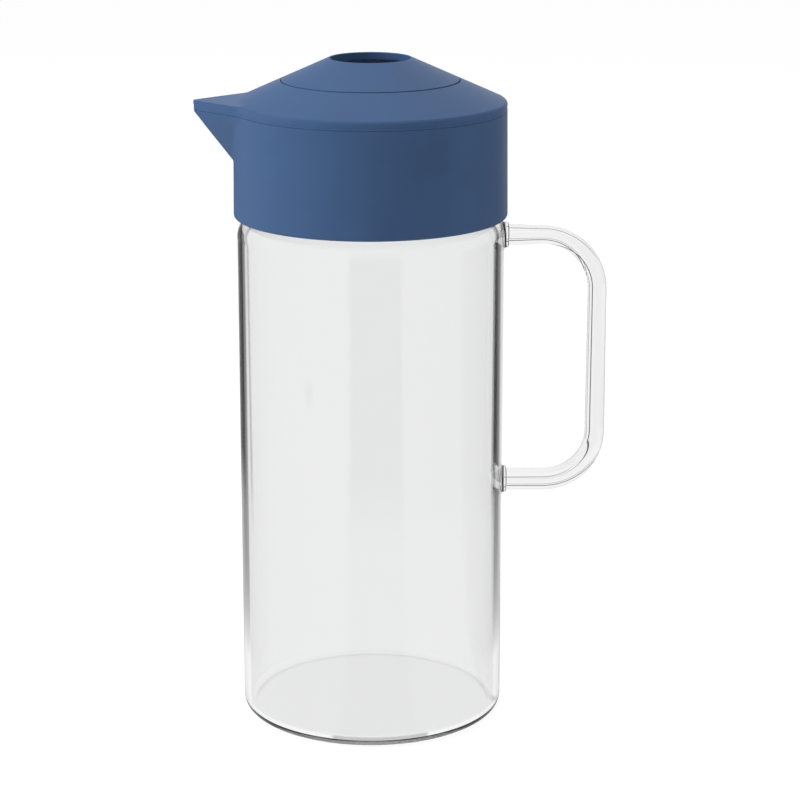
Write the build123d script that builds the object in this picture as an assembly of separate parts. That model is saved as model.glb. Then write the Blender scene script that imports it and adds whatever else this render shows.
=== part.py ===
from build123d import *
import math
import os

# Serving jug: a straight glass cylinder with a fused glass rod handle, and a round
# plastic lid with a beak spout, a conical cover and a centre cap with a filling hole.
# Origin: centre of the underside. +Z up, the beak points along -X, the handle along +X.
# All sizes are in millimetres.

# Glass body
body_radius = 51.0
glass_wall = 2.6
base_thickness = 3.2
base_corner_radius = 4.7
inner_corner_radius = 3.0
shoulder_height = 190.0
shoulder_radius = 9.6
neck_inset = 5.0
neck_blend_radius = 4.0
neck_length = 13.46
rim_rounding = 1.0

# Glass handle, a round rod that thins towards its upper bend
handle_reach = 36.0
upper_bar_drop = 0.2
handle_span = 97.5
upper_bend_radius = 21.3
lower_bend_radius = 18.4
upper_bar_diameter = 8.2
upper_bend_diameter = 7.2
grip_diameter = 7.6
lower_bend_diameter = 8.8
grip_flare_length = 16.0

# Fused feet between the rod and the wall
weld_proud = 1.8
weld_spread = 1.4
weld_lip = 0.3
weld_flare_overlap = 0.3
dimple_depth = 2.3
dimple_radius = 4.5

# Lid collar: skirt, shelf, plug and the lower half of the beak
collar_drop = 16.2
collar_height = 40.3
collar_overhang = 0.7
collar_flare = 0.5
collar_wall = 2.2
collar_edge_rounding = 1.0
shelf_thickness = 2.2
plug_depth = 11.0
plug_wall = 2.0
plug_bead_height = 1.7
plug_bead_width = 1.4

# Neck seal, a silicone ring with a flange and thin lips
seal_body_width = 1.0
seal_flange_thickness = 1.3
seal_lip_reach = 1.3
seal_lip_thickness = 1.2
seal_lip_count = 2
seal_lip_pitch = 3.8
seal_first_lip = 1.6
seal_clearance = 0.2
glass_clearance = 0.3

# Beak spout
beak_length = 14.5
beak_half_angle = 44.2
beak_nose_radius = 2.2
beak_top_above_seam = 3.7
beak_tip_below_seam = 0.9
beak_keel_rise = 19.7
beak_roof = 1.6
beak_edge_rounding = 1.0
mouth_width = 2.8
mouth_keel_drop = 4.4

# Gasket in the seam between collar and cover
gasket_width = 0.9
gasket_depth = 1.2
gasket_gap = 0.05

# Lid cover
cover_slope = 0.452
cover_band_height = 3.25
cover_wall = 2.2
cover_corner_radius = 3.0
cover_ring_depth = 5.6
cover_ring_width = 1.5
ring_clearance = 0.3

# Centre cap and its seal
cap_seam_radius = 33.7
cap_gap = 0.3
cap_edge_thickness = 2.0
cap_wall = 2.2
cap_hole_radius = 15.15
cap_lip_depth = 3.0
cap_lip_width = 1.9
cap_rim_rounding = 0.4
ledge_width = 2.7
ledge_thickness = 1.8
well_depth = 5.4
well_wall = 1.6
cap_skirt_clearance = 0.4
cap_skirt_depth = 5.0
cap_skirt_wall = 2.4
cap_seal_height = 1.2
cap_seal_depth = 1.1
cap_seal_drop = 2.0

# How far a cutting tool runs past the face that it cuts
cut_margin = 1.0

# Heights and radii that follow from the sizes above
inner_radius = body_radius - glass_wall
neck_radius = body_radius - neck_inset
shoulder_turn = math.acos(1 - neck_inset / (shoulder_radius + neck_blend_radius))
neck_start = shoulder_height + (shoulder_radius + neck_blend_radius) * math.sin(shoulder_turn)
rim_height = neck_start + neck_length
upper_bar_height = shoulder_height - upper_bar_drop
lower_bar_height = upper_bar_height - handle_span
grip_distance = body_radius + handle_reach
collar_top_radius = body_radius + collar_overhang
collar_bottom_radius = collar_top_radius + collar_flare
beak_reach = collar_top_radius + beak_length
neck_bore = neck_radius - glass_wall
shelf_bottom = rim_height + seal_flange_thickness
shelf_top = shelf_bottom + shelf_thickness
collar_bottom = rim_height - collar_drop
seam_height = collar_bottom + collar_height
collar_bore = collar_top_radius - collar_wall
seal_lip_radius = neck_bore - glass_clearance
seal_sleeve_radius = seal_lip_radius - seal_lip_reach
seal_inner_radius = seal_sleeve_radius - seal_body_width
plug_radius = seal_inner_radius - seal_clearance
plug_bore = plug_radius - plug_wall
plug_bead_top = shelf_bottom - plug_depth
plug_bottom = plug_bead_top - plug_bead_height
beak_top = seam_height + beak_top_above_seam
beak_tip_bottom = seam_height - beak_tip_below_seam
mouth_top = beak_top - beak_roof
cover_rise = (collar_top_radius - cap_seam_radius) * cover_slope
cap_seam_height = seam_height + cover_band_height + cover_rise
cover_bore = cap_seam_radius + cap_gap / 2
well_bore = cover_bore - ledge_width
ledge_top = cap_seam_height - cap_edge_thickness
cap_skirt_radius = well_bore - cap_skirt_clearance


def collar_radius_at(height):
    """Outer radius of the tapered collar at a height."""
    share = (height - collar_bottom) / collar_height
    return collar_bottom_radius + (collar_top_radius - collar_bottom_radius) * share


def cone_height_at(radius):
    """Height of the cover's outer cone at a radius."""
    return cap_seam_height + (cap_seam_radius - radius) * cover_slope


def revolved(*outlines):
    """A solid of revolution about Z from closed outlines of (radius, height) points."""
    faces = [Plane.XZ * make_face(Polyline(*points, close=True)) for points in outlines]
    profile = faces[0]
    for face in faces[1:]:
        profile = profile + face
    return revolve(profile, Axis.Z, 360)


def disc(radius, bottom, top):
    """A plain upright cylinder between two heights."""
    return Pos(0, 0, bottom) * Cylinder(
        radius, top - bottom, align=(Align.CENTER, Align.CENTER, Align.MIN)
    )


def ring(outer, inner, bottom, top):
    """An upright tube between two heights."""
    return disc(outer, bottom, top) - disc(inner, bottom - cut_margin, top + cut_margin)


def shoulder_solid(radius, turn_radius, blend_radius, top_radius, foot, top, corner):
    """A closed vessel shape: a cylinder that turns in to a narrower neck."""
    turn = shoulder_turn
    half = turn / 2
    mid = (
        radius - turn_radius * (1 - math.cos(turn)),
        shoulder_height + turn_radius * math.sin(turn),
    )
    turn_mid = (
        radius - turn_radius * (1 - math.cos(half)),
        shoulder_height + turn_radius * math.sin(half),
    )
    blend_centre = top_radius + blend_radius
    blend_mid = (
        blend_centre - blend_radius * math.cos(half),
        neck_start - blend_radius * math.sin(half),
    )
    slant = corner * (1 - math.sqrt(0.5))
    outline = [
        Line((0, foot), (radius - corner, foot)),
        ThreePointArc(
            (radius - corner, foot),
            (radius - slant, foot + slant),
            (radius, foot + corner),
        ),
        Line((radius, foot + corner), (radius, shoulder_height)),
        ThreePointArc((radius, shoulder_height), turn_mid, mid),
        ThreePointArc(mid, blend_mid, (top_radius, neck_start)),
        Line((top_radius, neck_start), (top_radius, top)),
        Line((top_radius, top), (0, top)),
        Line((0, top), (0, foot)),
    ]
    return revolve(Plane.XZ * make_face(Curve() + outline), Axis.Z, 360)


def rim_edges(solid, height):
    """The round edges of a solid at one height."""
    return solid.edges().filter_by(GeomType.CIRCLE).filter_by_position(
        Axis.Z, height - 0.01, height + 0.01
    )


def outer_glass():
    """The jug's outer form as one filled solid."""
    return shoulder_solid(
        body_radius, shoulder_radius, neck_blend_radius, neck_radius,
        0, rim_height, base_corner_radius,
    )


def weld_heights():
    """Heights of the two fused feet."""
    return upper_bar_height, lower_bar_height


def glass_body():
    """Cylinder, shoulder, neck and base, with the dimples pressed in at the welds."""
    hollow = shoulder_solid(
        inner_radius, shoulder_radius - glass_wall, neck_blend_radius + glass_wall,
        neck_bore, base_thickness, rim_height + cut_margin, inner_corner_radius,
    )
    body = outer_glass() - hollow
    body = fillet(rim_edges(body, rim_height), rim_rounding)
    ball = (dimple_radius ** 2 + dimple_depth ** 2) / (2 * dimple_depth)
    half_wall = glass_wall / 2
    inside = shoulder_solid(
        body_radius - half_wall, shoulder_radius - half_wall, neck_blend_radius + half_wall,
        neck_radius - half_wall, half_wall, rim_height, base_corner_radius - half_wall,
    )
    for height in weld_heights():
        centre = inner_radius - dimple_depth + ball
        body = body + (Pos(centre, 0, height) * Sphere(ball) & inside)
    return body


def weld(height, rod_diameter):
    """One fused foot: a short flared boss between the wall and the rod."""
    face = body_radius + weld_proud
    foot = rod_diameter / 2 + weld_lip
    boss = Pos(face, 0, height) * Rot(0, -90, 0) * Cylinder(
        foot, weld_proud + glass_wall / 2, align=(Align.CENTER, Align.CENTER, Align.MIN)
    )
    flare = Pos(face - weld_lip, 0, height) * Rot(0, -90, 0) * Cone(
        foot, foot + weld_spread, weld_proud - weld_lip + weld_flare_overlap,
        align=(Align.CENTER, Align.CENTER, Align.MIN),
    )
    return boss + flare - outer_glass()


def rod_between(start, end, start_diameter, end_diameter):
    """A straight tapered rod between two points (x, z) in the plane y = 0."""
    run = Vector(end[0] - start[0], 0, end[1] - start[1])
    plane = Plane(origin=(start[0], 0, start[1]), z_dir=run.normalized())
    if abs(start_diameter - end_diameter) < 1e-6:
        return plane * Cylinder(
            start_diameter / 2, run.length, align=(Align.CENTER, Align.CENTER, Align.MIN)
        )
    return plane * Cone(
        start_diameter / 2, end_diameter / 2, run.length,
        align=(Align.CENTER, Align.CENTER, Align.MIN),
    )


def rod_bend(centre, bend_radius, diameter, first_angle):
    """A quarter bend of the rod, its centre given as (x, z)."""
    circle = Plane.XZ * Pos(bend_radius, 0) * Circle(diameter / 2)
    axis_line = Axis.Z
    quarter = revolve(circle, axis_line, 90)
    stood_up = Rot(90, 0, 0) * quarter
    turned = Rot(0, first_angle, 0) * stood_up
    return Pos(centre[0], 0, centre[1]) * turned


def glass_handle():
    """The rod from the upper foot over two bends back to the lower foot."""
    face = body_radius + weld_proud
    upper_centre = (grip_distance - upper_bend_radius, upper_bar_height - upper_bend_radius)
    lower_centre = (grip_distance - lower_bend_radius, lower_bar_height + lower_bend_radius)
    flare_start = lower_centre[1] + grip_flare_length
    upper_bar = rod_between(
        (face, upper_bar_height), (upper_centre[0], upper_bar_height),
        upper_bar_diameter, upper_bend_diameter,
    )
    upper_bend = rod_bend(upper_centre, upper_bend_radius, upper_bend_diameter, 0)
    grip = rod_between(
        (grip_distance, upper_centre[1]), (grip_distance, flare_start),
        upper_bend_diameter, grip_diameter,
    )
    flare = rod_between(
        (grip_distance, flare_start), (grip_distance, lower_centre[1]),
        grip_diameter, lower_bend_diameter,
    )
    lower_bend = rod_bend(lower_centre, lower_bend_radius, lower_bend_diameter, 90)
    lower_bar = rod_between(
        (lower_centre[0], lower_bar_height), (face, lower_bar_height),
        lower_bend_diameter, lower_bend_diameter,
    )
    return upper_bar + upper_bend + grip + flare + lower_bend + lower_bar


def beak_plan(inset):
    """Outline of the beak seen from above, drawn in by an inset on every side."""
    half = math.radians(beak_half_angle)
    lip = beak_nose_radius - math.sqrt(beak_nose_radius ** 2 - (mouth_width / 2) ** 2)
    apex = beak_reach + lip + beak_nose_radius * (1 / math.sin(half) - 1)
    apex = apex - inset / math.sin(half)
    root = apex * math.sin(half) ** 2
    width = apex * math.sin(half) * math.cos(half)
    plan = make_face(Polyline((-apex, 0), (-root, width), (-root, -width), close=True))
    nose = beak_nose_radius - inset
    if nose > 0.05:
        plan = fillet(plan.vertices().sort_by(Axis.X)[0], nose)
    return plan


def keel_direction():
    """Direction of the keel from the tip down to the collar."""
    end = collar_radius_at(beak_tip_bottom - beak_keel_rise)
    return Vector(beak_reach - end, 0, -beak_keel_rise)


def beak_below_seam(inset):
    """Lower part of the beak: upright at the tip, then drawn back along the keel."""
    plan = Pos(0, 0, beak_tip_bottom) * beak_plan(inset)
    keel = keel_direction()
    upright = extrude(plan, beak_tip_below_seam, dir=(0, 0, 1))
    slanted = extrude(plan, keel.length * 1.5, dir=keel.normalized())
    return upright + slanted


def beak_above_seam(inset, top):
    """Upper part of the beak, an upright prism over the seam."""
    return extrude(Pos(0, 0, seam_height) * beak_plan(inset), top - seam_height)


def mouth():
    """The pouring slot through the nose of the beak."""
    bottom = beak_tip_bottom - mouth_keel_drop
    return Pos(-collar_bore - collar_wall, 0, bottom) * Box(
        beak_length + collar_wall, mouth_width, mouth_top - bottom,
        align=(Align.MAX, Align.CENTER, Align.MIN),
    )


def gasket_track(width):
    """A band that follows the seam, centred in the collar's wall."""
    centre = collar_wall / 2
    outer = Pos(0, 0, seam_height) * (
        Circle(collar_top_radius - centre + width / 2) + beak_plan(centre - width / 2)
    )
    inner = Pos(0, 0, seam_height) * (
        Circle(collar_top_radius - centre - width / 2) + beak_plan(centre + width / 2)
    )
    return extrude(outer - inner, -gasket_depth)


def lid_collar():
    """Skirt, shelf, plug and the open lower half of the beak."""
    skirt = revolved([
        (collar_bore, collar_bottom),
        (collar_bottom_radius, collar_bottom),
        (collar_top_radius, seam_height),
        (collar_bore, seam_height),
    ])
    outer_edge = rim_edges(skirt, collar_bottom).sort_by(SortBy.RADIUS)[-1]
    skirt = fillet(outer_edge, collar_edge_rounding)
    shelf = ring(collar_bore + collar_wall / 2, plug_bore, shelf_bottom, shelf_top)
    plug = ring(plug_radius, plug_bore, plug_bottom, shelf_top)
    bead = ring(plug_radius + plug_bead_width, plug_bore, plug_bottom, plug_bead_top)
    outside_bore = beak_below_seam(0) - disc(collar_bore, 0, seam_height + cut_margin)
    channel = beak_below_seam(collar_wall) & disc(
        beak_reach * 2, shelf_top, seam_height + cut_margin
    )
    solid = skirt + outside_bore + shelf + plug + bead
    solid = solid - channel - mouth() - gasket_track(gasket_width + 2 * gasket_gap)
    return solid


def seam_gasket():
    """Thin silicone cord in the collar's top edge, with its ends at the mouth."""
    return gasket_track(gasket_width) - mouth()


def neck_seal():
    """Silicone ring round the plug: a flange on the glass rim and lips in the neck."""
    bottom = plug_bead_top + seal_clearance
    flange = neck_radius - glass_clearance
    solid = ring(seal_sleeve_radius, seal_inner_radius, bottom, shelf_bottom)
    solid = solid + ring(flange, seal_inner_radius, rim_height, shelf_bottom)
    for index in range(seal_lip_count):
        height = bottom + seal_first_lip + index * seal_lip_pitch
        solid = solid + ring(
            seal_lip_radius, seal_inner_radius, height, height + seal_lip_thickness
        )
    return solid


def cover_underside(radius):
    """Height of the cover's inner cone at a radius."""
    thickness = cover_wall * math.sqrt(1 + cover_slope ** 2)
    return cone_height_at(radius) - thickness


def lid_cover():
    """Conical cover with the beak's roof, a locating ring and the cap's well."""
    well = well_bore + well_wall
    ledge_bottom = ledge_top - ledge_thickness
    ledge_end = cap_seam_radius + (
        (cover_underside(cap_seam_radius) - ledge_bottom) / cover_slope
    )
    ring_outer = collar_bore - ring_clearance
    ring_inner = ring_outer - cover_ring_width
    ring_bottom = seam_height - cover_ring_depth
    shell = revolved([
        (collar_top_radius, seam_height),
        (collar_top_radius, cone_height_at(collar_top_radius)),
        (cover_bore, cone_height_at(cover_bore)),
        (cover_bore, ledge_top),
        (well_bore, ledge_top),
        (well_bore, ledge_top - well_depth),
        (well, ledge_top - well_depth),
        (well, ledge_bottom),
        (ledge_end, ledge_bottom),
        (ring_inner, cover_underside(ring_inner)),
        (ring_inner, ring_bottom),
        (ring_outer, ring_bottom),
        (ring_outer, seam_height),
    ])
    corner = rim_edges(shell, cone_height_at(collar_top_radius))
    shell = fillet(corner.sort_by(SortBy.RADIUS)[-1], cover_corner_radius)
    roof = beak_above_seam(0, beak_top)
    top_face = roof.faces().sort_by(Axis.Z)[-1]
    roof = fillet(top_face.edges().sort_by(Axis.X)[:-1], beak_edge_rounding)
    outside_bore = roof - disc(ring_outer, 0, beak_top + cut_margin)
    channel = Pos(0, 0, ring_bottom - cut_margin) * extrude(
        beak_plan(collar_wall), mouth_top - ring_bottom + cut_margin
    )
    return shell + outside_bore - channel - mouth()


def centre_cap():
    """Conical cap with the filling hole, a seat on the ledge and a short skirt."""
    edge = cap_seam_radius - cap_gap / 2
    skirt_inner = cap_skirt_radius - cap_skirt_wall
    skirt_bottom = ledge_top - cap_skirt_depth
    thickness = cap_wall * math.sqrt(1 + cover_slope ** 2)
    lip_inner = cap_hole_radius + cap_lip_width
    hole_top = cone_height_at(cap_hole_radius)
    solid = revolved([
        (edge, cone_height_at(edge)),
        (cap_hole_radius, hole_top),
        (cap_hole_radius, hole_top - cap_lip_depth),
        (lip_inner, hole_top - cap_lip_depth),
        (lip_inner, cone_height_at(lip_inner) - thickness),
        (skirt_inner, cone_height_at(skirt_inner) - thickness),
        (skirt_inner, skirt_bottom),
        (cap_skirt_radius, skirt_bottom),
        (cap_skirt_radius, ledge_top),
        (edge, ledge_top),
    ])
    solid = fillet(rim_edges(solid, hole_top), cap_rim_rounding)
    groove_top = ledge_top - cap_seal_drop
    groove_bottom = groove_top - cap_seal_height - 2 * seal_clearance
    groove = ring(
        cap_skirt_radius + cut_margin, cap_skirt_radius - cap_seal_depth,
        groove_bottom, groove_top,
    )
    return solid - groove


def cap_seal():
    """Small silicone ring in the cap's groove."""
    top = ledge_top - cap_seal_drop - seal_clearance
    groove_floor = cap_skirt_radius - cap_seal_depth
    return ring(
        well_bore - seal_clearance, groove_floor + seal_clearance, top - cap_seal_height, top
    )


parts = {
    "glass_body": glass_body(),
    "glass_handle": glass_handle(),
    "upper_handle_weld": weld(upper_bar_height, upper_bar_diameter),
    "lower_handle_weld": weld(lower_bar_height, lower_bend_diameter),
    "neck_seal": neck_seal(),
    "lid_collar": lid_collar(),
    "seam_gasket": seam_gasket(),
    "lid_cover": lid_cover(),
    "cap_seal": cap_seal(),
    "centre_cap": centre_cap(),
}

for name, solid in parts.items():
    export_step(solid, f"parts/{name}.step")
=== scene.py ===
"""A serving jug: a straight glass cylinder with a fused rod handle, and a round plastic lid.

The jug stands on its base at the origin, +Z up. The beak points along -X and the handle
along +X. All sizes are in metres. An angle called a turn is measured round the axis from
the beak, positive towards +Y.
"""

from __future__ import annotations

import logging
import math
from dataclasses import dataclass
from enum import Enum
from functools import cached_property
from typing import Callable, Sequence

import bmesh
import bpy
import numpy as np
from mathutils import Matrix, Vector


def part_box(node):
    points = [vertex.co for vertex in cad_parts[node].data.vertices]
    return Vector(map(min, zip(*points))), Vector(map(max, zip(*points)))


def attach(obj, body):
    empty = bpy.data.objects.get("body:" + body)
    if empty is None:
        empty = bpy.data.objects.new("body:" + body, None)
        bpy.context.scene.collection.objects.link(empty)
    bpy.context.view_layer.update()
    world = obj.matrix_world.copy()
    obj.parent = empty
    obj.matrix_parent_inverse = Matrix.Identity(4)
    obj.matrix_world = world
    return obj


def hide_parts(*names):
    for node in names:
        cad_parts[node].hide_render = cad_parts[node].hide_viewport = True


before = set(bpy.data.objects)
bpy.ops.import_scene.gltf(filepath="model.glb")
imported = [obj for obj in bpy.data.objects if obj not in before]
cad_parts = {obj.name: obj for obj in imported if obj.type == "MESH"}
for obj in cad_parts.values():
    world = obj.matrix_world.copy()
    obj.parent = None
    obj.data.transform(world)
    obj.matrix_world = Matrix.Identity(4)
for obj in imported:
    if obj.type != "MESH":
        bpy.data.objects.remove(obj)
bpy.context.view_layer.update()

MERGE_DISTANCE = 1e-6
TINY = 1e-9
SHARP_ANGLE = math.radians(38)
ROUND_STEPS = 6
# The noise of the moulded finish: its scale, detail and roughness.
GRAIN_NOISE = (5200.0, 2.0, 0.6)
PATCH_NOISE = (40.0, 3.0, 0.5)
# Where the soft edge of a stripe starts and ends, in half widths of the stripe.
STRIPE_EDGE = (0.5, 1.5)
# A ray's depth is a whole number, so a test lies halfway between two of them.
ONE_OR_MORE = 0.5
THREE_OR_MORE = 2.5

Point = tuple[float, float]
Range = tuple[float, float]
Corner = tuple[float, float, float]
Place = tuple[float, float, float]
Color = tuple[float, float, float]
Outline = list[Point]
Stops = tuple[tuple[float, float], ...]

log = logging.getLogger("serving_jug")


class Body(Enum):
    """The moving bodies that new pieces ride on, by their names in the record."""

    JUG = "jug"
    COLLAR = "collar"
    COVER = "cover"
    CAP = "cap"


class Slot(Enum):
    """Names of the record's material slots, passed along with new pieces but not read."""

    GLASS = "clear_glass"
    PLASTIC = "blue_plastic"


def soft_max(first: float, second: float, width: float) -> float:
    """The larger of two lengths, with a smooth hand-over between them.

    Args:
        first: One length.
        second: The other length.
        width: How far apart the two may be and still melt together.

    Returns:
        The larger length, up to a quarter of the width more where both are alike.
    """
    if width <= 0:
        return max(first, second)
    overlap = max(width - abs(first - second), 0.0) / width
    return max(first, second) + overlap * overlap * width / 4


def smooth_step(low: float, high: float, value: float) -> float:
    """A soft rise from 0 at low to 1 at high.

    Args:
        low: Where the rise starts.
        high: Where the rise ends.
        value: The place to read.

    Returns:
        A share from 0 to 1.
    """
    share = min(max((value - low) / (high - low), 0.0), 1.0)
    return share * share * (3 - 2 * share)


def taper(start: float, end: float, share: float) -> float:
    """A radius that changes softly along a rod.

    Args:
        start: The radius at share 0.
        end: The radius at share 1.
        share: How far along the rod.

    Returns:
        The radius there.
    """
    return start + smooth_step(0.0, 1.0, share) * (end - start)


def rounded(corners: Sequence[Corner], closed: bool = True) -> Outline:
    """Turns a list of corners into an outline whose corners are arcs.

    Args:
        corners: The radius, height and rounding of each corner.
        closed: Whether the last corner joins the first.

    Returns:
        The outline's points, always as many for the same kinds of corner.
    """
    points: Outline = []
    count = len(corners)
    for index, (radius, height, rounding) in enumerate(corners):
        at_end = not closed and index in (0, count - 1)
        if rounding <= 0 or at_end:
            points.append((radius, height))
            continue
        here = np.array((radius, height))
        before = np.array(corners[index - 1][:2]) - here
        after = np.array(corners[(index + 1) % count][:2]) - here
        before /= np.linalg.norm(before)
        after /= np.linalg.norm(after)
        half = math.acos(float(np.clip(before @ after, -1, 1))) / 2
        middle = (before + after) / np.linalg.norm(before + after)
        centre = here + middle * rounding / math.sin(half)
        start = here + before * rounding / math.tan(half) - centre
        end = here + after * rounding / math.tan(half) - centre
        first = math.atan2(start[1], start[0])
        sweep = math.remainder(math.atan2(end[1], end[0]) - first, math.tau)
        for step in range(ROUND_STEPS + 1):
            angle = first + sweep * step / ROUND_STEPS
            points.append(
                (centre[0] + rounding * math.cos(angle), centre[1] + rounding * math.sin(angle))
            )
    return points


def spread(start: float, end: float, count: int) -> list[float]:
    """Evenly spaced values.

    Args:
        start: The first value.
        end: The last value.
        count: How many steps lie between them.

    Returns:
        One value more than there are steps.
    """
    return [start + (end - start) * index / count for index in range(count + 1)]


class MeshDraft:
    """Points and faces that are gathered piece by piece and welded into one mesh."""

    def __init__(self) -> None:
        """Starts an empty draft."""
        self.points: list[Place] = []
        self.faces: list[tuple[int, ...]] = []

    def add(self, point: Sequence[float]) -> int:
        """Adds a point.

        Args:
            point: Its place.

        Returns:
            Its index.
        """
        self.points.append((float(point[0]), float(point[1]), float(point[2])))
        return len(self.points) - 1

    def bridge(self, first: Sequence[int], second: Sequence[int], closed: bool = True) -> None:
        """Joins two rows of as many points with a strip of faces.

        Args:
            first: Indices of one row.
            second: Indices of the other row.
            closed: Whether the rows close on themselves.
        """
        count = len(first)
        for index in range(count if closed else count - 1):
            after = (index + 1) % count
            self.faces.append((first[index], first[after], second[after], second[index]))

    def sweep(self, turns: Sequence[float], outline: Callable[[float], Outline]) -> None:
        """Sweeps a closed upright outline round the axis.

        Args:
            turns: The angles at which the outline is set.
            outline: Gives the outline of (radius, height) points at an angle.
        """
        before: list[int] = []
        for turn in turns:
            row = [self.add(on_turn(turn, radius, height)) for radius, height in outline(turn)]
            if before:
                self.bridge(before, row)
            before = row

    def wall(self, turn: float, outline: Outline) -> None:
        """Adds one flat upright face.

        Args:
            turn: The angle at which it stands.
            outline: Its (radius, height) points.
        """
        face = tuple(self.add(on_turn(turn, radius, height)) for radius, height in outline)
        self.faces.append(face)

    def build(self, name: str) -> bpy.types.Object:
        """Welds the draft into a closed mesh with smooth faces.

        Args:
            name: The piece's name.

        Returns:
            The new object, linked to the scene.
        """
        mesh = bpy.data.meshes.new(name)
        mesh.from_pydata(self.points, [], self.faces)
        work = bmesh.new()
        work.from_mesh(mesh)
        bmesh.ops.remove_doubles(work, verts=work.verts, dist=MERGE_DISTANCE)
        bmesh.ops.recalc_face_normals(work, faces=work.faces)
        work.to_mesh(mesh)
        work.free()
        mesh.shade_smooth()
        mesh.set_sharp_from_angle(angle=SHARP_ANGLE)
        piece = bpy.data.objects.new(name, mesh)
        bpy.context.scene.collection.objects.link(piece)
        evened = piece.modifiers.new("even_shading", "WEIGHTED_NORMAL")
        evened.keep_sharp = True
        return piece


def on_turn(turn: float, radius: float, height: float) -> Place:
    """The place of a point that is given round the axis.

    Args:
        turn: Angle from the beak's middle.
        radius: Distance from the axis.
        height: Height over the base.

    Returns:
        The point's X, Y and Z.
    """
    return (-radius * math.cos(turn), radius * math.sin(turn), height)


def dress(piece: bpy.types.Object, finish: bpy.types.Material, body: Body, slot: Slot,
          *nodes: str) -> None:
    """Gives a piece its finish, its body and the nodes that it stands for.

    Args:
        piece: The new piece.
        finish: Its material.
        body: The body that it moves with.
        slot: Not used.
        nodes: The nodes that it replaces.
    """
    piece.data.materials.clear()
    piece.data.materials.append(finish)
    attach(piece, body.value)
    if nodes:
        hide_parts(*nodes)
    log.info("%s: %d faces, rides on %s", piece.name, len(piece.data.polygons), body.value)


class NodeBoard:
    """A short way to set and link shader nodes in one tree."""

    def __init__(self, tree: bpy.types.NodeTree) -> None:
        """Empties a tree and starts on it.

        Args:
            tree: The tree of a material, a world or a group.
        """
        self.tree = tree
        tree.nodes.clear()

    def node(self, kind: str, **settings: object) -> bpy.types.Node:
        """Adds a node.

        Args:
            kind: The node's type name.
            settings: Properties to set on it.

        Returns:
            The node.
        """
        made = self.tree.nodes.new(kind)
        for name, value in settings.items():
            setattr(made, name, value)
        return made

    def feed(self, node: bpy.types.Node, **values: object) -> bpy.types.Node:
        """Sets or links a node's inputs by name, with underscores for spaces.

        Args:
            node: The node to feed.
            values: Numbers, colours or output sockets.

        Returns:
            The same node.
        """
        for name, value in values.items():
            socket = node.inputs[name.replace("_", " ")]
            self.plug(socket, value)
        return node

    def plug(self, socket: bpy.types.NodeSocket, value: object) -> None:
        """Links an output socket to an input, or sets the input's own value.

        Args:
            socket: The input.
            value: An output socket, or a number or colour.
        """
        if isinstance(value, bpy.types.NodeSocket):
            self.tree.links.new(value, socket)
        else:
            socket.default_value = value

    def math(self, operation: str, *values: object) -> bpy.types.NodeSocket:
        """Adds a calculation on one to three values.

        Args:
            operation: The kind of calculation.
            values: Numbers or output sockets.

        Returns:
            The result's socket.
        """
        made = self.node("ShaderNodeMath", operation=operation)
        for index, value in enumerate(values):
            self.plug(made.inputs[index], value)
        return made.outputs[0]

    def ramp(self, value: object, low: float, high: float, start: float,
             end: float) -> bpy.types.NodeSocket:
        """Maps a value smoothly from one range to another.

        Args:
            value: The socket to map.
            low: Where the source range starts.
            high: Where the source range ends.
            start: The result at low and below.
            end: The result at high and above.

        Returns:
            The result's socket.
        """
        made = self.node("ShaderNodeMapRange", interpolation_type="SMOOTHSTEP")
        for index, part in enumerate((value, low, high, start, end)):
            self.plug(made.inputs[index], part)
        return made.outputs[0]

    def blend(self, share: object, first: object, second: object) -> bpy.types.NodeSocket:
        """Mixes two colours.

        Args:
            share: How much of the second, from 0 to 1.
            first: The colour at 0.
            second: The colour at 1.

        Returns:
            The mixed colour's socket.
        """
        made = self.node("ShaderNodeMix", data_type="RGBA")
        self.plug(made.inputs[0], share)
        self.plug(made.inputs[6], first)
        self.plug(made.inputs[7], second)
        return made.outputs[2]

    def choose(self, share: object, first: object, second: object) -> bpy.types.NodeSocket:
        """Mixes two values.

        Args:
            share: How much of the second, from 0 to 1.
            first: The value at 0.
            second: The value at 1.

        Returns:
            The mixed value's socket.
        """
        made = self.node("ShaderNodeMix", data_type="FLOAT")
        for index, value in ((0, share), (2, first), (3, second)):
            self.plug(made.inputs[index], value)
        return made.outputs[0]

    def stripe(self, value: object, middle: float, half_width: float) -> bpy.types.NodeSocket:
        """A soft stripe round one value.

        Args:
            value: The value to test.
            middle: Where the stripe lies.
            half_width: Half its width, in the middle of its soft edge.

        Returns:
            1 in the stripe and 0 beside it.
        """
        off = self.math("ABSOLUTE", self.math("SUBTRACT", value, middle))
        inside, outside = STRIPE_EDGE
        return self.ramp(off, half_width * inside, half_width * outside, 1.0, 0.0)

    def stripes(self, value: object, scale: float, places: Stops) -> bpy.types.NodeSocket:
        """Several soft stripes in one value.

        Args:
            value: The value to test.
            scale: What the places' numbers are multiplied by.
            places: The middle and half width of each stripe.

        Returns:
            1 in a stripe and 0 beside them.
        """
        found: object = 0.0
        for middle, half_width in places:
            stripe = self.stripe(value, middle * scale, half_width * scale)
            found = self.math("MAXIMUM", found, stripe)
        return found

    def curve(self, value: object, stops: Stops) -> bpy.types.NodeSocket:
        """Maps a value from 0 to 1 along straight lines between stops.

        Args:
            value: The socket to map.
            stops: Places from 0 to 1, each with the level there.

        Returns:
            The result's socket.
        """
        made = self.node("ShaderNodeFloatCurve")
        points = made.mapping.curves[0].points
        top = max(level for _, level in stops)
        for index, (place, level) in enumerate(stops):
            if index in (0, len(stops) - 1):
                points[0 if index == 0 else -1].location = (place, level / top)
            else:
                points.new(place, level / top)
        for point in points:
            point.handle_type = "VECTOR"
        made.mapping.update()
        self.feed(made, Value=value)
        return self.math("MULTIPLY", made.outputs[0], top)


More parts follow.
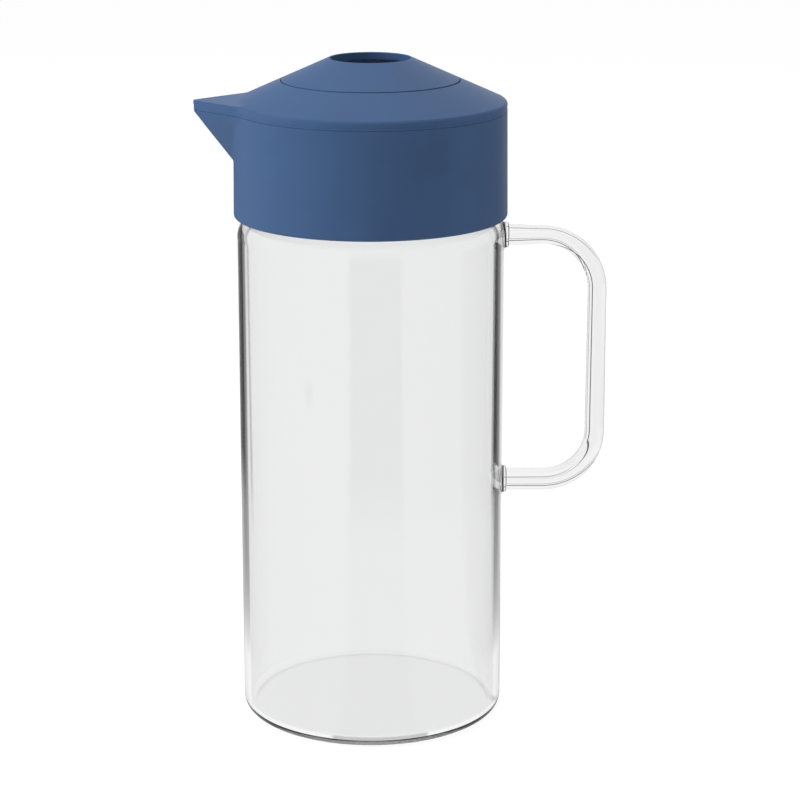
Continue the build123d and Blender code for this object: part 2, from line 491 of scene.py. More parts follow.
def new_group(name: str, inputs: dict[str, float], outputs: Sequence[str]
              ) -> tuple[bpy.types.ShaderNodeTree, NodeBoard, bpy.types.Node, bpy.types.Node]:
    """Makes an empty shader node group with float sockets.

    Args:
        name: The group's name.
        inputs: Each input's name and first value.
        outputs: The outputs' names.

    Returns:
        The group, its board, and its input and output nodes.
    """
    group = bpy.data.node_groups.new(name, "ShaderNodeTree")
    for label, value in inputs.items():
        socket = group.interface.new_socket(label, in_out="INPUT", socket_type="NodeSocketFloat")
        socket.default_value = value
    for label in outputs:
        group.interface.new_socket(label, in_out="OUTPUT", socket_type="NodeSocketFloat")
    board = NodeBoard(group)
    entry = board.node("NodeGroupInput")
    way_out = board.node("NodeGroupOutput")
    return group, board, entry, way_out


def moulded_grain() -> bpy.types.ShaderNodeTree:
    """The fine matt texture that a mould leaves on plastic and silicone.

    Returns:
        A group with a height for the bump and a slow patchiness.
    """
    grain_scale, grain_detail, grain_roughness = GRAIN_NOISE
    patch_scale, patch_detail, patch_roughness = PATCH_NOISE
    group, board, entry, way_out = new_group(
        "moulded_grain",
        {"Grain Scale": grain_scale, "Patch Scale": patch_scale},
        ("Height", "Patch"),
    )
    place = board.node("ShaderNodeTexCoord")
    fine = board.node("ShaderNodeTexNoise", noise_dimensions="3D")
    board.feed(fine, Vector=place.outputs["Object"], Scale=entry.outputs["Grain Scale"],
               Detail=grain_detail, Roughness=grain_roughness)
    slow = board.node("ShaderNodeTexNoise", noise_dimensions="3D")
    board.feed(slow, Vector=place.outputs["Object"], Scale=entry.outputs["Patch Scale"],
               Detail=patch_detail, Roughness=patch_roughness)
    board.plug(way_out.inputs["Height"], fine.outputs[0])
    board.plug(way_out.inputs["Patch"], slow.outputs[0])
    return group


# What a plain reflection sees of the surroundings and of the floor's painted reflections: bearings
# in degrees from the back, and brightness.
GLOSS_STOPS: Stops = (
    (-180, 0.03), (-164, 0.03), (-160, 0.68), (-48, 0.72), (-43, 0.25), (-37, 0.07), (-20, 0.09),
    (-12, 0.95), (29.5, 0.95), (34, 0.6), (37.5, 0.6), (43, 0.25), (46, 0.06), (49, 0.06),
    (54, 0.42), (60, 0.42), (70, 0.32), (93, 0.26), (97, 0.28), (152, 0.28), (156, 0.03),
    (180, 0.03),
)
# The floor's painted reflection as seen by way of a reflection inside the wall, in the same units.
PAINTED_INNER_REFLECTION: Stops = (
    (-180, 0.0), (-164, 0.0), (-160, 1.0), (-90, 1.0), (-80, 0.9), (-38.5, 0.9), (-36.5, 0.33),
    (-30, 0.3), (-28, 0.05), (-13, 0.07), (-6, 0.5), (5, 0.7), (7, 0.9), (14.4, 0.55),
    (19.4, 0.4), (23, 0.06), (41, 0.05), (46, 0.7), (93, 0.5), (97, 1.0), (152, 1.0), (156, 0.0),
    (180, 0.0),
)
# Painted shade near the glass's right edge: how much of its colour is kept, by how squarely it is
# seen.
RIGHT_EDGE_PAINTED_SHADE: Stops = (
    (0.0, 1.0), (0.277, 1.0), (0.295, 0.5), (0.314, 0.03), (0.338, 0.04), (0.353, 0.27),
    (0.372, 0.35), (0.388, 1.0), (1.0, 1.0),
)
# The same painted shade near its left edge.
LEFT_EDGE_PAINTED_SHADE: Stops = (
    (0.0, 1.0), (0.345, 1.0), (0.358, 0.6), (0.374, 0.33), (0.389, 0.55), (0.402, 1.0),
    (1.0, 1.0),
)


def studio_profile(name: str, stops: Stops) -> bpy.types.ShaderNodeTree:
    """How bright the studio is all round, seen in one way.

    Args:
        name: The group's name.
        stops: Bearings in degrees from the back, positive to the right, with the brightness.

    Returns:
        A group from a bearing in radians to a brightness.
    """
    group, board, entry, way_out = new_group(name, {"Bearing": 0.0}, ("Brightness",))
    turned = board.math("MULTIPLY_ADD", entry.outputs["Bearing"], 1 / math.tau, 0.5)
    level = board.curve(turned, tuple((degrees / 360 + 0.5, level) for degrees, level in stops))
    board.plug(way_out.inputs["Brightness"], level)
    return group


@dataclass(frozen=True)
class MattePlastic:
    """Moulded plastic with an even matt skin."""

    grain: bpy.types.ShaderNodeTree
    name: str = "blue_plastic_matt"
    color: Color = (0.0465, 0.104, 0.232)
    color_spread: float = 0.035
    color_range: Range = (0.35, 0.65)
    roughness: float = 0.55
    roughness_spread: float = 0.02
    roughness_range: Range = (0.3, 0.7)
    grain_depth: float = 1.2e-5
    grain_strength: float = 0.6
    refraction: float = 1.49
    gloss: float = 0.33

    def build(self) -> bpy.types.Material:
        """Makes the material.

        Returns:
            The finished material.
        """
        finish = bpy.data.materials.new(self.name)
        finish.use_nodes = True
        board = NodeBoard(finish.node_tree)
        skin = board.node("ShaderNodeBsdfPrincipled")
        grain = board.node("ShaderNodeGroup", node_tree=self.grain)
        patch = grain.outputs["Patch"]
        deep = tuple(part * (1 - self.color_spread) for part in self.color) + (1.0,)
        pale = tuple(part * (1 + self.color_spread) for part in self.color) + (1.0,)
        tint = board.blend(board.ramp(patch, *self.color_range, 0.0, 1.0), deep, pale)
        smoothest = self.roughness - self.roughness_spread
        roughest = self.roughness + self.roughness_spread
        sheen = board.ramp(patch, *self.roughness_range, smoothest, roughest)
        bump = board.node("ShaderNodeBump")
        board.feed(bump, Height=grain.outputs["Height"], Strength=self.grain_strength,
                   Distance=self.grain_depth)
        board.feed(skin, Base_Color=tint, Roughness=sheen, Normal=bump.outputs[0],
                   IOR=self.refraction, Specular_IOR_Level=self.gloss)
        output = board.node("ShaderNodeOutputMaterial")
        board.feed(output, Surface=skin.outputs[0])
        return finish


@dataclass(frozen=True)
class Silicone:
    """Soft milky grey silicone."""

    grain: bpy.types.ShaderNodeTree
    name: str = "grey_silicone_soft"
    color: Color = (0.42, 0.43, 0.44)
    color_low: float = 0.9
    roughness: Range = (0.38, 0.48)
    roughness_range: Range = (0.3, 0.7)
    grain_depth: float = 2e-5
    grain_strength: float = 0.4
    refraction: float = 1.41
    milkiness: float = 0.25
    milk_depth: float = 0.001

    def build(self) -> bpy.types.Material:
        """Makes the material.

        Returns:
            The finished material.
        """
        finish = bpy.data.materials.new(self.name)
        finish.use_nodes = True
        board = NodeBoard(finish.node_tree)
        skin = board.node("ShaderNodeBsdfPrincipled")
        grain = board.node("ShaderNodeGroup", node_tree=self.grain)
        patch = grain.outputs["Patch"]
        deep = tuple(part * self.color_low for part in self.color) + (1.0,)
        tint = board.blend(patch, deep, self.color + (1.0,))
        bump = board.node("ShaderNodeBump")
        board.feed(bump, Height=grain.outputs["Height"], Strength=self.grain_strength,
                   Distance=self.grain_depth)
        sheen = board.ramp(patch, *self.roughness_range, *self.roughness)
        board.feed(skin, Base_Color=tint, Roughness=sheen, Normal=bump.outputs[0],
                   Subsurface_Weight=self.milkiness, Subsurface_Scale=self.milk_depth,
                   IOR=self.refraction)
        output = board.node("ShaderNodeOutputMaterial")
        board.feed(output, Surface=skin.outputs[0])
        return finish


@dataclass(frozen=True)
class ClearGlass:
    """Clear heatproof glass with the faint waves of a drawn tube, and painted shade along the body's
    edges.
    """

    name: str = "clear_glass_drawn"
    color: Color = (0.955, 0.958, 0.957)
    color_low: float = 0.995
    refraction: float = 1.47
    wave_depth: float = 1e-5
    wave_strength: float = 0.5
    wave_scale: Place = (60.0, 60.0, 9.0)
    wave_roughness: float = 0.4
    # Where the painted edge shade shows: inside a radius, with a soft change from the left to the
    # right table, rising over a range of heights.
    painted_shade_radius: float = 0.0514
    painted_shade_side_half: float = 0.02
    painted_shade_rise: Range = (0.07, 0.11)

    def build(self) -> bpy.types.Material:
        """Makes the material.

        Returns:
            The finished material.
        """
        finish = bpy.data.materials.new(self.name)
        finish.use_nodes = True
        board = NodeBoard(finish.node_tree)
        skin = board.node("ShaderNodeBsdfPrincipled")
        place = board.node("ShaderNodeTexCoord")
        drawn = board.node("ShaderNodeMapping")
        board.feed(drawn, Vector=place.outputs["Object"], Scale=self.wave_scale)
        waves = board.node("ShaderNodeTexNoise", noise_dimensions="3D")
        board.feed(waves, Vector=drawn.outputs[0], Scale=1.0, Detail=1.0,
                   Roughness=self.wave_roughness)
        bump = board.node("ShaderNodeBump")
        board.feed(bump, Height=waves.outputs[0], Strength=self.wave_strength,
                   Distance=self.wave_depth)
        deep = tuple(part * self.color_low for part in self.color) + (1.0,)
        tint = board.blend(waves.outputs[0], deep, self.color + (1.0,))
        # Painted shade: the base colour goes towards black in lines along the body's edges.
        tint = board.blend(self.painted_edge_shade(board, place), (0.0, 0.0, 0.0, 1.0), tint)
        board.feed(skin, Base_Color=tint, Roughness=0.0, IOR=self.refraction,
                   Transmission_Weight=1.0, Normal=bump.outputs[0])
        output = board.node("ShaderNodeOutputMaterial")
        board.feed(output, Surface=skin.outputs[0])
        return finish

    def painted_edge_shade(self, board: NodeBoard, place: bpy.types.Node) -> bpy.types.NodeSocket:
        """Painted shade: dark lines set in the base colour along the body's two edges, by how
        squarely the glass is seen, for camera rays only.

        Args:
            board: The material's board.
            place: Its texture coordinates.

        Returns:
            1 where the glass is clear, less in a painted dark line.
        """
        parts = board.node("ShaderNodeSeparateXYZ")
        board.feed(parts, Vector=place.outputs["Object"])
        across, along, height = parts.outputs
        flat = board.node("ShaderNodeCombineXYZ")
        board.feed(flat, X=across, Y=along)
        distance = board.node("ShaderNodeVectorMath", operation="LENGTH")
        board.plug(distance.inputs[0], flat.outputs[0])
        on_body = board.math("LESS_THAN", distance.outputs["Value"], self.painted_shade_radius)
        risen = board.ramp(height, *self.painted_shade_rise, 0.0, 1.0)
        shown = board.math("MULTIPLY", on_body, risen)
        path = board.node("ShaderNodeLightPath")
        shown = board.math("MULTIPLY", shown, path.outputs["Is Camera Ray"])
        slant = board.node("ShaderNodeLayerWeight")
        board.feed(slant, Blend=0.5)
        ahead = board.math("SUBTRACT", 1.0, slant.outputs["Facing"])
        side = board.ramp(across, -self.painted_shade_side_half, self.painted_shade_side_half, 0.0, 1.0)
        left = board.curve(ahead, LEFT_EDGE_PAINTED_SHADE)
        right = board.curve(ahead, RIGHT_EDGE_PAINTED_SHADE)
        return board.choose(shown, 1.0, board.choose(side, left, right))


@dataclass
class GlassJug:
    """The blown body and the fused rod handle, one piece of glass."""

    finish: bpy.types.Material
    body_radius: float = 0.051
    wall: float = 0.0026
    base_thickness: float = 0.0021
    base_corner: float = 0.0042
    inner_corner: float = 0.003
    shoulder_height: float = 0.190
    shoulder_turn_radius: float = 0.0096
    neck_radius: float = 0.046
    neck_blend: float = 0.004
    rim_rounding: float = 0.001
    upper_bar: float = 0.1898
    lower_bar: float = 0.0923
    grip_distance: float = 0.087
    upper_bend: float = 0.0213
    lower_bend: float = 0.0198
    upper_bar_radius: float = 0.0041
    upper_bend_rod_radius: float = 0.0036
    grip_radius: float = 0.0038
    lower_rod_radius: float = 0.0044
    boss_face: float = 0.0528
    boss_lip: float = 0.0008
    boss_spread: float = 0.0009
    boss_fillet: float = 0.0011
    dimple_depth: float = 0.0023
    dimple_radius: float = 0.0062
    block_half: float = 0.008
    block_cells: int = 20
    dimple_margin: float = 0.0006
    round_step: float = math.radians(1.5)
    bend_steps: int = 28
    outer_rows: tuple[int, int, int] = (12, 14, 12)
    inner_rows: tuple[int, int, int] = (18, 14, 12)
    dimple_rows: int = 26
    corner_steps: int = 10
    foot_steps: tuple[int, int, int] = (7, 9, 8)
    rod_steps: tuple[int, int, int] = (12, 16, 8)
    rim_steps: int = 6
    disc_rings: tuple[float, ...] = (0.85, 0.6, 0.35, 0.12)

    @cached_property
    def rim_height(self) -> float:
        """Height of the glass rim, from the frame."""
        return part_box("glass_body")[1].z

    def radius_at(self, height: float, inset: float) -> float:
        """Radius of the wall at a height between the base corner and the rim.

        Args:
            height: Height over the base.
            inset: 0 on the outside, the wall's thickness on the inside.

        Returns:
            The radius there.
        """
        turn_radius = self.shoulder_turn_radius - inset
        blend = self.neck_blend + inset
        shrink = self.body_radius - self.neck_radius
        turn = math.acos(1 - shrink / (self.shoulder_turn_radius + self.neck_blend))
        rise = height - self.shoulder_height
        body = self.body_radius - inset
        neck = self.neck_radius - inset
        full = (self.shoulder_turn_radius + self.neck_blend) * math.sin(turn)
        if rise <= 0:
            return body
        if rise >= full:
            return neck
        if rise <= turn_radius * math.sin(turn):
            return body - turn_radius + math.sqrt(turn_radius ** 2 - rise ** 2)
        return neck + blend - math.sqrt(blend ** 2 - (full - rise) ** 2)

    def columns(self) -> list[float]:
        """Angles of the wall's columns from the handle's side, dense at the feet.

        Returns:
            The angles, all round, once each.
        """
        half = math.asin(self.block_half / self.body_radius)
        dense = spread(-half, half, self.block_cells)
        rest = int(round((math.tau - 2 * half) / self.round_step))
        return dense[:-1] + spread(half, math.tau - half, rest)[:-1]

    def skin(self, draft: MeshDraft, heights: Sequence[float], inset: float,
             columns: Sequence[float], bumps: bool) -> list[list[int]]:
        """Adds the points of a wall's skin.

        Args:
            draft: The mesh under way.
            heights: Heights of the rows.
            inset: 0 on the outside, the wall's thickness on the inside.
            columns: Angles of the columns.
            bumps: Whether the lens of each foot swells out of this skin.

        Returns:
            The rows of indices, one for each height.
        """
        rows = []
        for height in heights:
            row = []
            for angle in columns:
                radius = self.radius_at(height, inset)
                if bumps:
                    radius -= self.lens(radius * math.sin(angle), height, math.cos(angle))
                row.append(draft.add((radius * math.cos(angle), radius * math.sin(angle), height)))
            rows.append(row)
        return rows

    def lens(self, across: float, height: float, facing: float) -> float:
        """How far the inside of a foot swells out of the wall.

        Args:
            across: Distance from the handle's plane.
            height: Height over the base.
            facing: Cosine of the angle from the handle's side.

        Returns:
            The swelling towards the axis.
        """
        if facing < 0:
            return 0.0
        swelling = 0.0
        for middle in (self.upper_bar, self.lower_bar):
            share = math.hypot(across, height - middle) / self.dimple_radius
            if share < 1:
                swelling += self.dimple_depth * (1 - share * share) ** 2
        return swelling

    def outer_heights(self) -> list[float]:
        """Heights of the rows on the outside, exact at the feet's blocks.

        Returns:
            The heights from the base corner to below the rim.
        """
        low, high = self.lower_bar, self.upper_bar
        half = self.block_half
        lowest, middle, highest = self.outer_rows
        rows = spread(self.base_corner, low - half, lowest)[:-1]
        rows += spread(low - half, low + half, self.block_cells)[:-1]
        rows += spread(low + half, high - half, middle)[:-1]
        rows += spread(high - half, high + half, self.block_cells)[:-1]
        rows += spread(high + half, self.rim_height - self.rim_rounding, highest)
        return rows

    def inner_heights(self) -> list[float]:
        """Heights of the rows on the inside, from the rim down.

        Returns:
            The heights from below the rim to the inner corner.
        """
        low, high = self.lower_bar, self.upper_bar
        reach = self.dimple_radius + self.dimple_margin
        highest, middle, lowest = self.inner_rows
        rows = spread(self.rim_height - self.rim_rounding, high + reach, highest)[:-1]
        rows += spread(high + reach, high - reach, self.dimple_rows)[:-1]
        rows += spread(high - reach, low + reach, middle)[:-1]
        rows += spread(low + reach, low - reach, self.dimple_rows)[:-1]
        rows += spread(low - reach, self.base_thickness + self.inner_corner, lowest)
        return rows

    def corner_rows(self, draft: MeshDraft, columns: Sequence[float], corner: float,
                    edge: float, floor: float, rising: bool) -> list[list[int]]:
        """Adds the rows of a round corner at the base.

        Args:
            draft: The mesh under way.
            columns: Angles of the columns.
            corner: The corner's radius.
            edge: Radius of the wall that it meets.
            floor: Height of the floor that it meets.
            rising: Whether the rows run from the floor to the wall.

        Returns:
            The rows of indices, without the one that lies on the wall.
        """
        steps = spread(0.0, math.pi / 2, self.corner_steps)[:-1]
        rows = []
        for step in steps:
            radius = edge - corner + corner * math.sin(step)
            height = floor + corner - corner * math.cos(step)
            rows.append([
                draft.add((radius * math.cos(angle), radius * math.sin(angle), height))
                for angle in columns
            ])
        return rows if rising else rows[::-1]

    def disc(self, draft: MeshDraft, rim: Sequence[int], height: float) -> None:
        """Closes a round floor with rings of faces towards its middle.

        Args:
            draft: The mesh under way.
            rim: Indices of the points round the floor.
            height: The floor's height.
        """
        before = list(rim)
        places = [draft.points[index] for index in rim]
        for share in self.disc_rings:
            row = [draft.add((place[0] * share, place[1] * share, height)) for place in places]
            draft.bridge(before, row)
            before = row
        middle = draft.add((0.0, 0.0, height))
        count = len(before)
        for index in range(count):
            draft.faces.append((before[index], before[(index + 1) % count], middle))

    def block_border(self, rows: list[list[int]], first_row: int, downward: bool) -> list[int]:
        """The points round the square block of cells that a foot replaces.

        Args:
            rows: The outside's rows of indices.
            first_row: The block's lowest row.
            downward: Whether the border runs from +Y towards -Z instead of +Z.

        Returns:
            The border's indices, starting at the middle of the +Y side.
        """
        cells = self.block_cells
        half = cells // 2
        top = first_row + cells
        middle = first_row + half
        up_right = [rows[row][cells] for row in range(middle, top)]
        across_top = [rows[top][column] for column in range(cells, 0, -1)]
        down_left = [rows[row][0] for row in range(top, first_row, -1)]
        across_low = [rows[first_row][column] for column in range(0, cells)]
        up_again = [rows[row][cells] for row in range(first_row, middle)]
        border = up_right + across_top + down_left + across_low + up_again
        if downward:
            border = [border[0]] + border[:0:-1]
        return border

    def wall_point(self, across: float, height: float) -> float:
        """Distance in X of the outer wall at a place beside the handle's plane.

        Args:
            across: Distance from the handle's plane, in Y.
            height: Height over the base.

        Returns:
            The distance from the axis's plane, in X.
        """
        return math.sqrt(self.radius_at(height, 0.0) ** 2 - across ** 2)

    def foot_rows(self, draft: MeshDraft, border: list[int], middle: float, rod: float,
                  downward: bool) -> list[int]:
        """Adds one fused foot, from the wall's block to the rod's first ring.

        Args:
            draft: The mesh under way.
            border: Indices round the block.
            middle: Height of the rod's axis.
            rod: The rod's radius at the foot.
            downward: Whether the ring runs from +Y towards -Z.

        Returns:
            Indices of the ring where the rod starts.
        """
        count = len(border)
        side = -1.0 if downward else 1.0
        angles = [math.tau * index / count for index in range(count)]
        foot = rod + self.boss_lip
        spread_radius = foot + self.boss_spread
        places = [draft.points[index] for index in border]
        before = border
        flat_steps, fillet_steps, barrel_steps = self.foot_steps
        for share in spread(0.0, 1.0, flat_steps)[1:]:
            row = []
            for angle, place in zip(angles, places):
                across = place[1] * (1 - share) + spread_radius * math.cos(angle) * share
                rise = (place[2] - middle) * (1 - share)
                rise += side * spread_radius * math.sin(angle) * share
                wall = self.wall_point(across, middle + rise)
                row.append(draft.add((wall, across, middle + rise)))
            draft.bridge(before, row)
            before = row
        top = self.body_radius + self.boss_fillet
        for step in spread(0.0, math.pi / 2, fillet_steps)[1:]:
            ring_radius = spread_radius - self.boss_spread * math.sin(step)
            climb = 1 - math.cos(step)
            row = []
            for angle in angles:
                across = ring_radius * math.cos(angle)
                rise = side * ring_radius * math.sin(angle)
                wall = self.wall_point(across, middle + rise)
                row.append(draft.add((wall + (top - wall) * climb, across, middle + rise)))
            draft.bridge(before, row)
            before = row
        barrel = self.boss_face - top
        for share in spread(0.0, 1.0, barrel_steps)[1:]:
            swell = self.boss_lip * (1 - share ** 3)
            before = self.ring(draft, before, (top + barrel * share, middle), rod + swell,
                               (0.0, side))
        return before

    def ring(self, draft: MeshDraft, before: Sequence[int], centre: Point, radius: float,
             outward: Point) -> list[int]:
        """Adds one ring of the rod and joins it to the ring before.

        Args:
            draft: The mesh under way.
            before: Indices of the ring before.
            centre: The ring's middle, as X and Z.
            radius: The rod's radius there.
            outward: The ring's own up, as X and Z.

        Returns:
            The new ring's indices.
        """
        count = len(before)
        row = []
        for index in range(count):
            angle = math.tau * index / count
            lift = radius * math.sin(angle)
            row.append(draft.add((
                centre[0] + outward[0] * lift,
                radius * math.cos(angle),
                centre[1] + outward[1] * lift,
            )))
        draft.bridge(before, row)
        return row

    def rod_rings(self) -> list[tuple[Point, float, Point]]:
        """The rod's rings between the two feet.

        Returns:
            The middle, radius and own up of each ring, from the upper foot on.
        """
        rings: list[tuple[Point, float, Point]] = []
        upper_x = self.grip_distance - self.upper_bend
        lower_x = self.grip_distance - self.lower_bend
        upper_z = self.upper_bar - self.upper_bend
        lower_z = self.lower_bar + self.lower_bend
        top_steps, grip_steps, low_steps = self.rod_steps
        for share in spread(0.0, 1.0, top_steps)[1:]:
            x = self.boss_face + (upper_x - self.boss_face) * share
            radius = taper(self.upper_bar_radius, self.upper_bend_rod_radius, share)
            rings.append(((x, self.upper_bar), radius, (0.0, 1.0)))
        for angle in spread(math.pi / 2, 0.0, self.bend_steps)[1:]:
            outward = (math.cos(angle), math.sin(angle))
            middle = (upper_x + self.upper_bend * outward[0], upper_z + self.upper_bend * outward[1])
            rings.append((middle, self.upper_bend_rod_radius, outward))
        for share in spread(0.0, 1.0, grip_steps)[1:]:
            z = upper_z + (lower_z - upper_z) * share
            radius = taper(self.upper_bend_rod_radius, self.grip_radius, share)
            rings.append(((self.grip_distance, z), radius, (1.0, 0.0)))
        for share in spread(0.0, 1.0, self.bend_steps)[1:]:
            outward = (math.cos(share * math.pi / 2), -math.sin(share * math.pi / 2))
            middle = (lower_x + self.lower_bend * outward[0], lower_z + self.lower_bend * outward[1])
            rings.append((middle, taper(self.grip_radius, self.lower_rod_radius, share), outward))
        for share in spread(0.0, 1.0, low_steps)[1:-1]:
            x = lower_x + (self.boss_face - lower_x) * share
            rings.append(((x, self.lower_bar), self.lower_rod_radius, (0.0, -1.0)))
        return rings

    def build(self) -> bpy.types.Object:
        """Builds the whole glass as one closed mesh.

        Returns:
            The dressed piece.
        """
        draft = MeshDraft()
        columns = self.columns()
        heights = self.outer_heights()
        outer = self.skin(draft, heights, 0.0, columns, False)
        starts = [
            min(range(len(heights)), key=lambda row: abs(heights[row] - bar + self.block_half))
            for bar in (self.lower_bar, self.upper_bar)
        ]
        count = len(columns)
        for row in range(len(outer) - 1):
            in_block = any(start <= row < start + self.block_cells for start in starts)
            for column in range(count):
                if in_block and column < self.block_cells:
                    continue
                after = (column + 1) % count
                draft.faces.append((
                    outer[row][column], outer[row][after],
                    outer[row + 1][after], outer[row + 1][column],
                ))
        outer_corner = self.corner_rows(
            draft, columns, self.base_corner, self.body_radius, 0.0, True
        )
        for first, second in zip(outer_corner, outer_corner[1:] + [outer[0]]):
            draft.bridge(first, second)
        self.disc(draft, outer_corner[0], 0.0)
        inner = self.skin(draft, self.inner_heights(), self.wall, columns, True)
        rim = self.rim_rows(draft, columns)
        chain = [outer[-1]] + rim + inner
        inner_corner = self.corner_rows(
            draft, columns, self.inner_corner, self.body_radius - self.wall,
            self.base_thickness, False,
        )
        chain += inner_corner
        for first, second in zip(chain, chain[1:]):
            draft.bridge(first, second)
        self.disc(draft, chain[-1], self.base_thickness)
        upper = self.foot_rows(
            draft, self.block_border(outer, starts[1], False), self.upper_bar,
            self.upper_bar_radius, False,
        )
        lower = self.foot_rows(
            draft, self.block_border(outer, starts[0], True), self.lower_bar,
            self.lower_rod_radius, True,
        )
        before = upper
        for centre, radius, outward in self.rod_rings():
            before = self.ring(draft, before, centre, radius, outward)
        draft.bridge(before, lower)
        piece = draft.build("jug_glass")
        dress(piece, self.finish, Body.JUG, Slot.GLASS, "glass_body", "glass_handle",
              "upper_handle_weld", "lower_handle_weld")
        return piece

    def rim_rows(self, draft: MeshDraft, columns: Sequence[float]) -> list[list[int]]:
        """Adds the rows over the rounded rim, between the outside and the inside.

        Args:
            draft: The mesh under way.
            columns: Angles of the columns.

        Returns:
            The rows of indices.
        """
        turn = self.rim_rounding
        low = self.rim_height - turn
        outline = []
        for step in spread(0.0, math.pi / 2, self.rim_steps)[1:]:
            outline.append((self.neck_radius - turn + turn * math.cos(step),
                            low + turn * math.sin(step)))
        bore = self.neck_radius - self.wall
        for step in spread(math.pi / 2, 0.0, self.rim_steps)[:-1]:
            outline.append((bore + turn - turn * math.cos(step), low + turn * math.sin(step)))
        return [
            [draft.add((radius * math.cos(angle), radius * math.sin(angle), height))
             for angle in columns]
            for radius, height in outline
        ]


@dataclass(frozen=True)
class BeakForm:
    """The beak seen from above: a wedge with a small round nose and a narrow mouth."""

    apex: float = 0.067657
    half_angle: float = math.radians(44.2)
    nose_radius: float = 0.0022
    least_nose: float = 0.0002
    widest_turn: float = math.radians(42)
    nose_turn: float = math.radians(4.0)
    mouth_turn: float = math.radians(0.8)
    keel_slope: float = 0.772
    tip_height: float = 0.2377

    def radius_at(self, turn: float, height: float, inset: float) -> float:
        """Distance from the axis to the beak's side.

        Args:
            turn: Angle from the beak's middle.
            height: Height over the base; below the tip the beak draws back.
            inset: How far inside the beak's outer side.

        Returns:
            The distance, or 0 where the beak doesn't reach.
        """
        turn = abs(turn)
        if turn > self.widest_turn:
            return 0.0
        drawn_back = max(self.tip_height - height, 0.0) * self.keel_slope
        apex = self.apex - drawn_back - inset / math.sin(self.half_angle)
        nose = max(self.nose_radius - inset, self.least_nose)
        middle = apex - nose / math.sin(self.half_angle)
        across = nose * math.cos(self.half_angle)
        touch = math.atan2(across, middle + nose * math.sin(self.half_angle))
        if turn < touch:
            return middle * math.cos(turn) + math.sqrt(
                nose ** 2 - (middle * math.sin(turn)) ** 2
            )
        return apex * math.sin(self.half_angle) / math.sin(self.half_angle + turn)


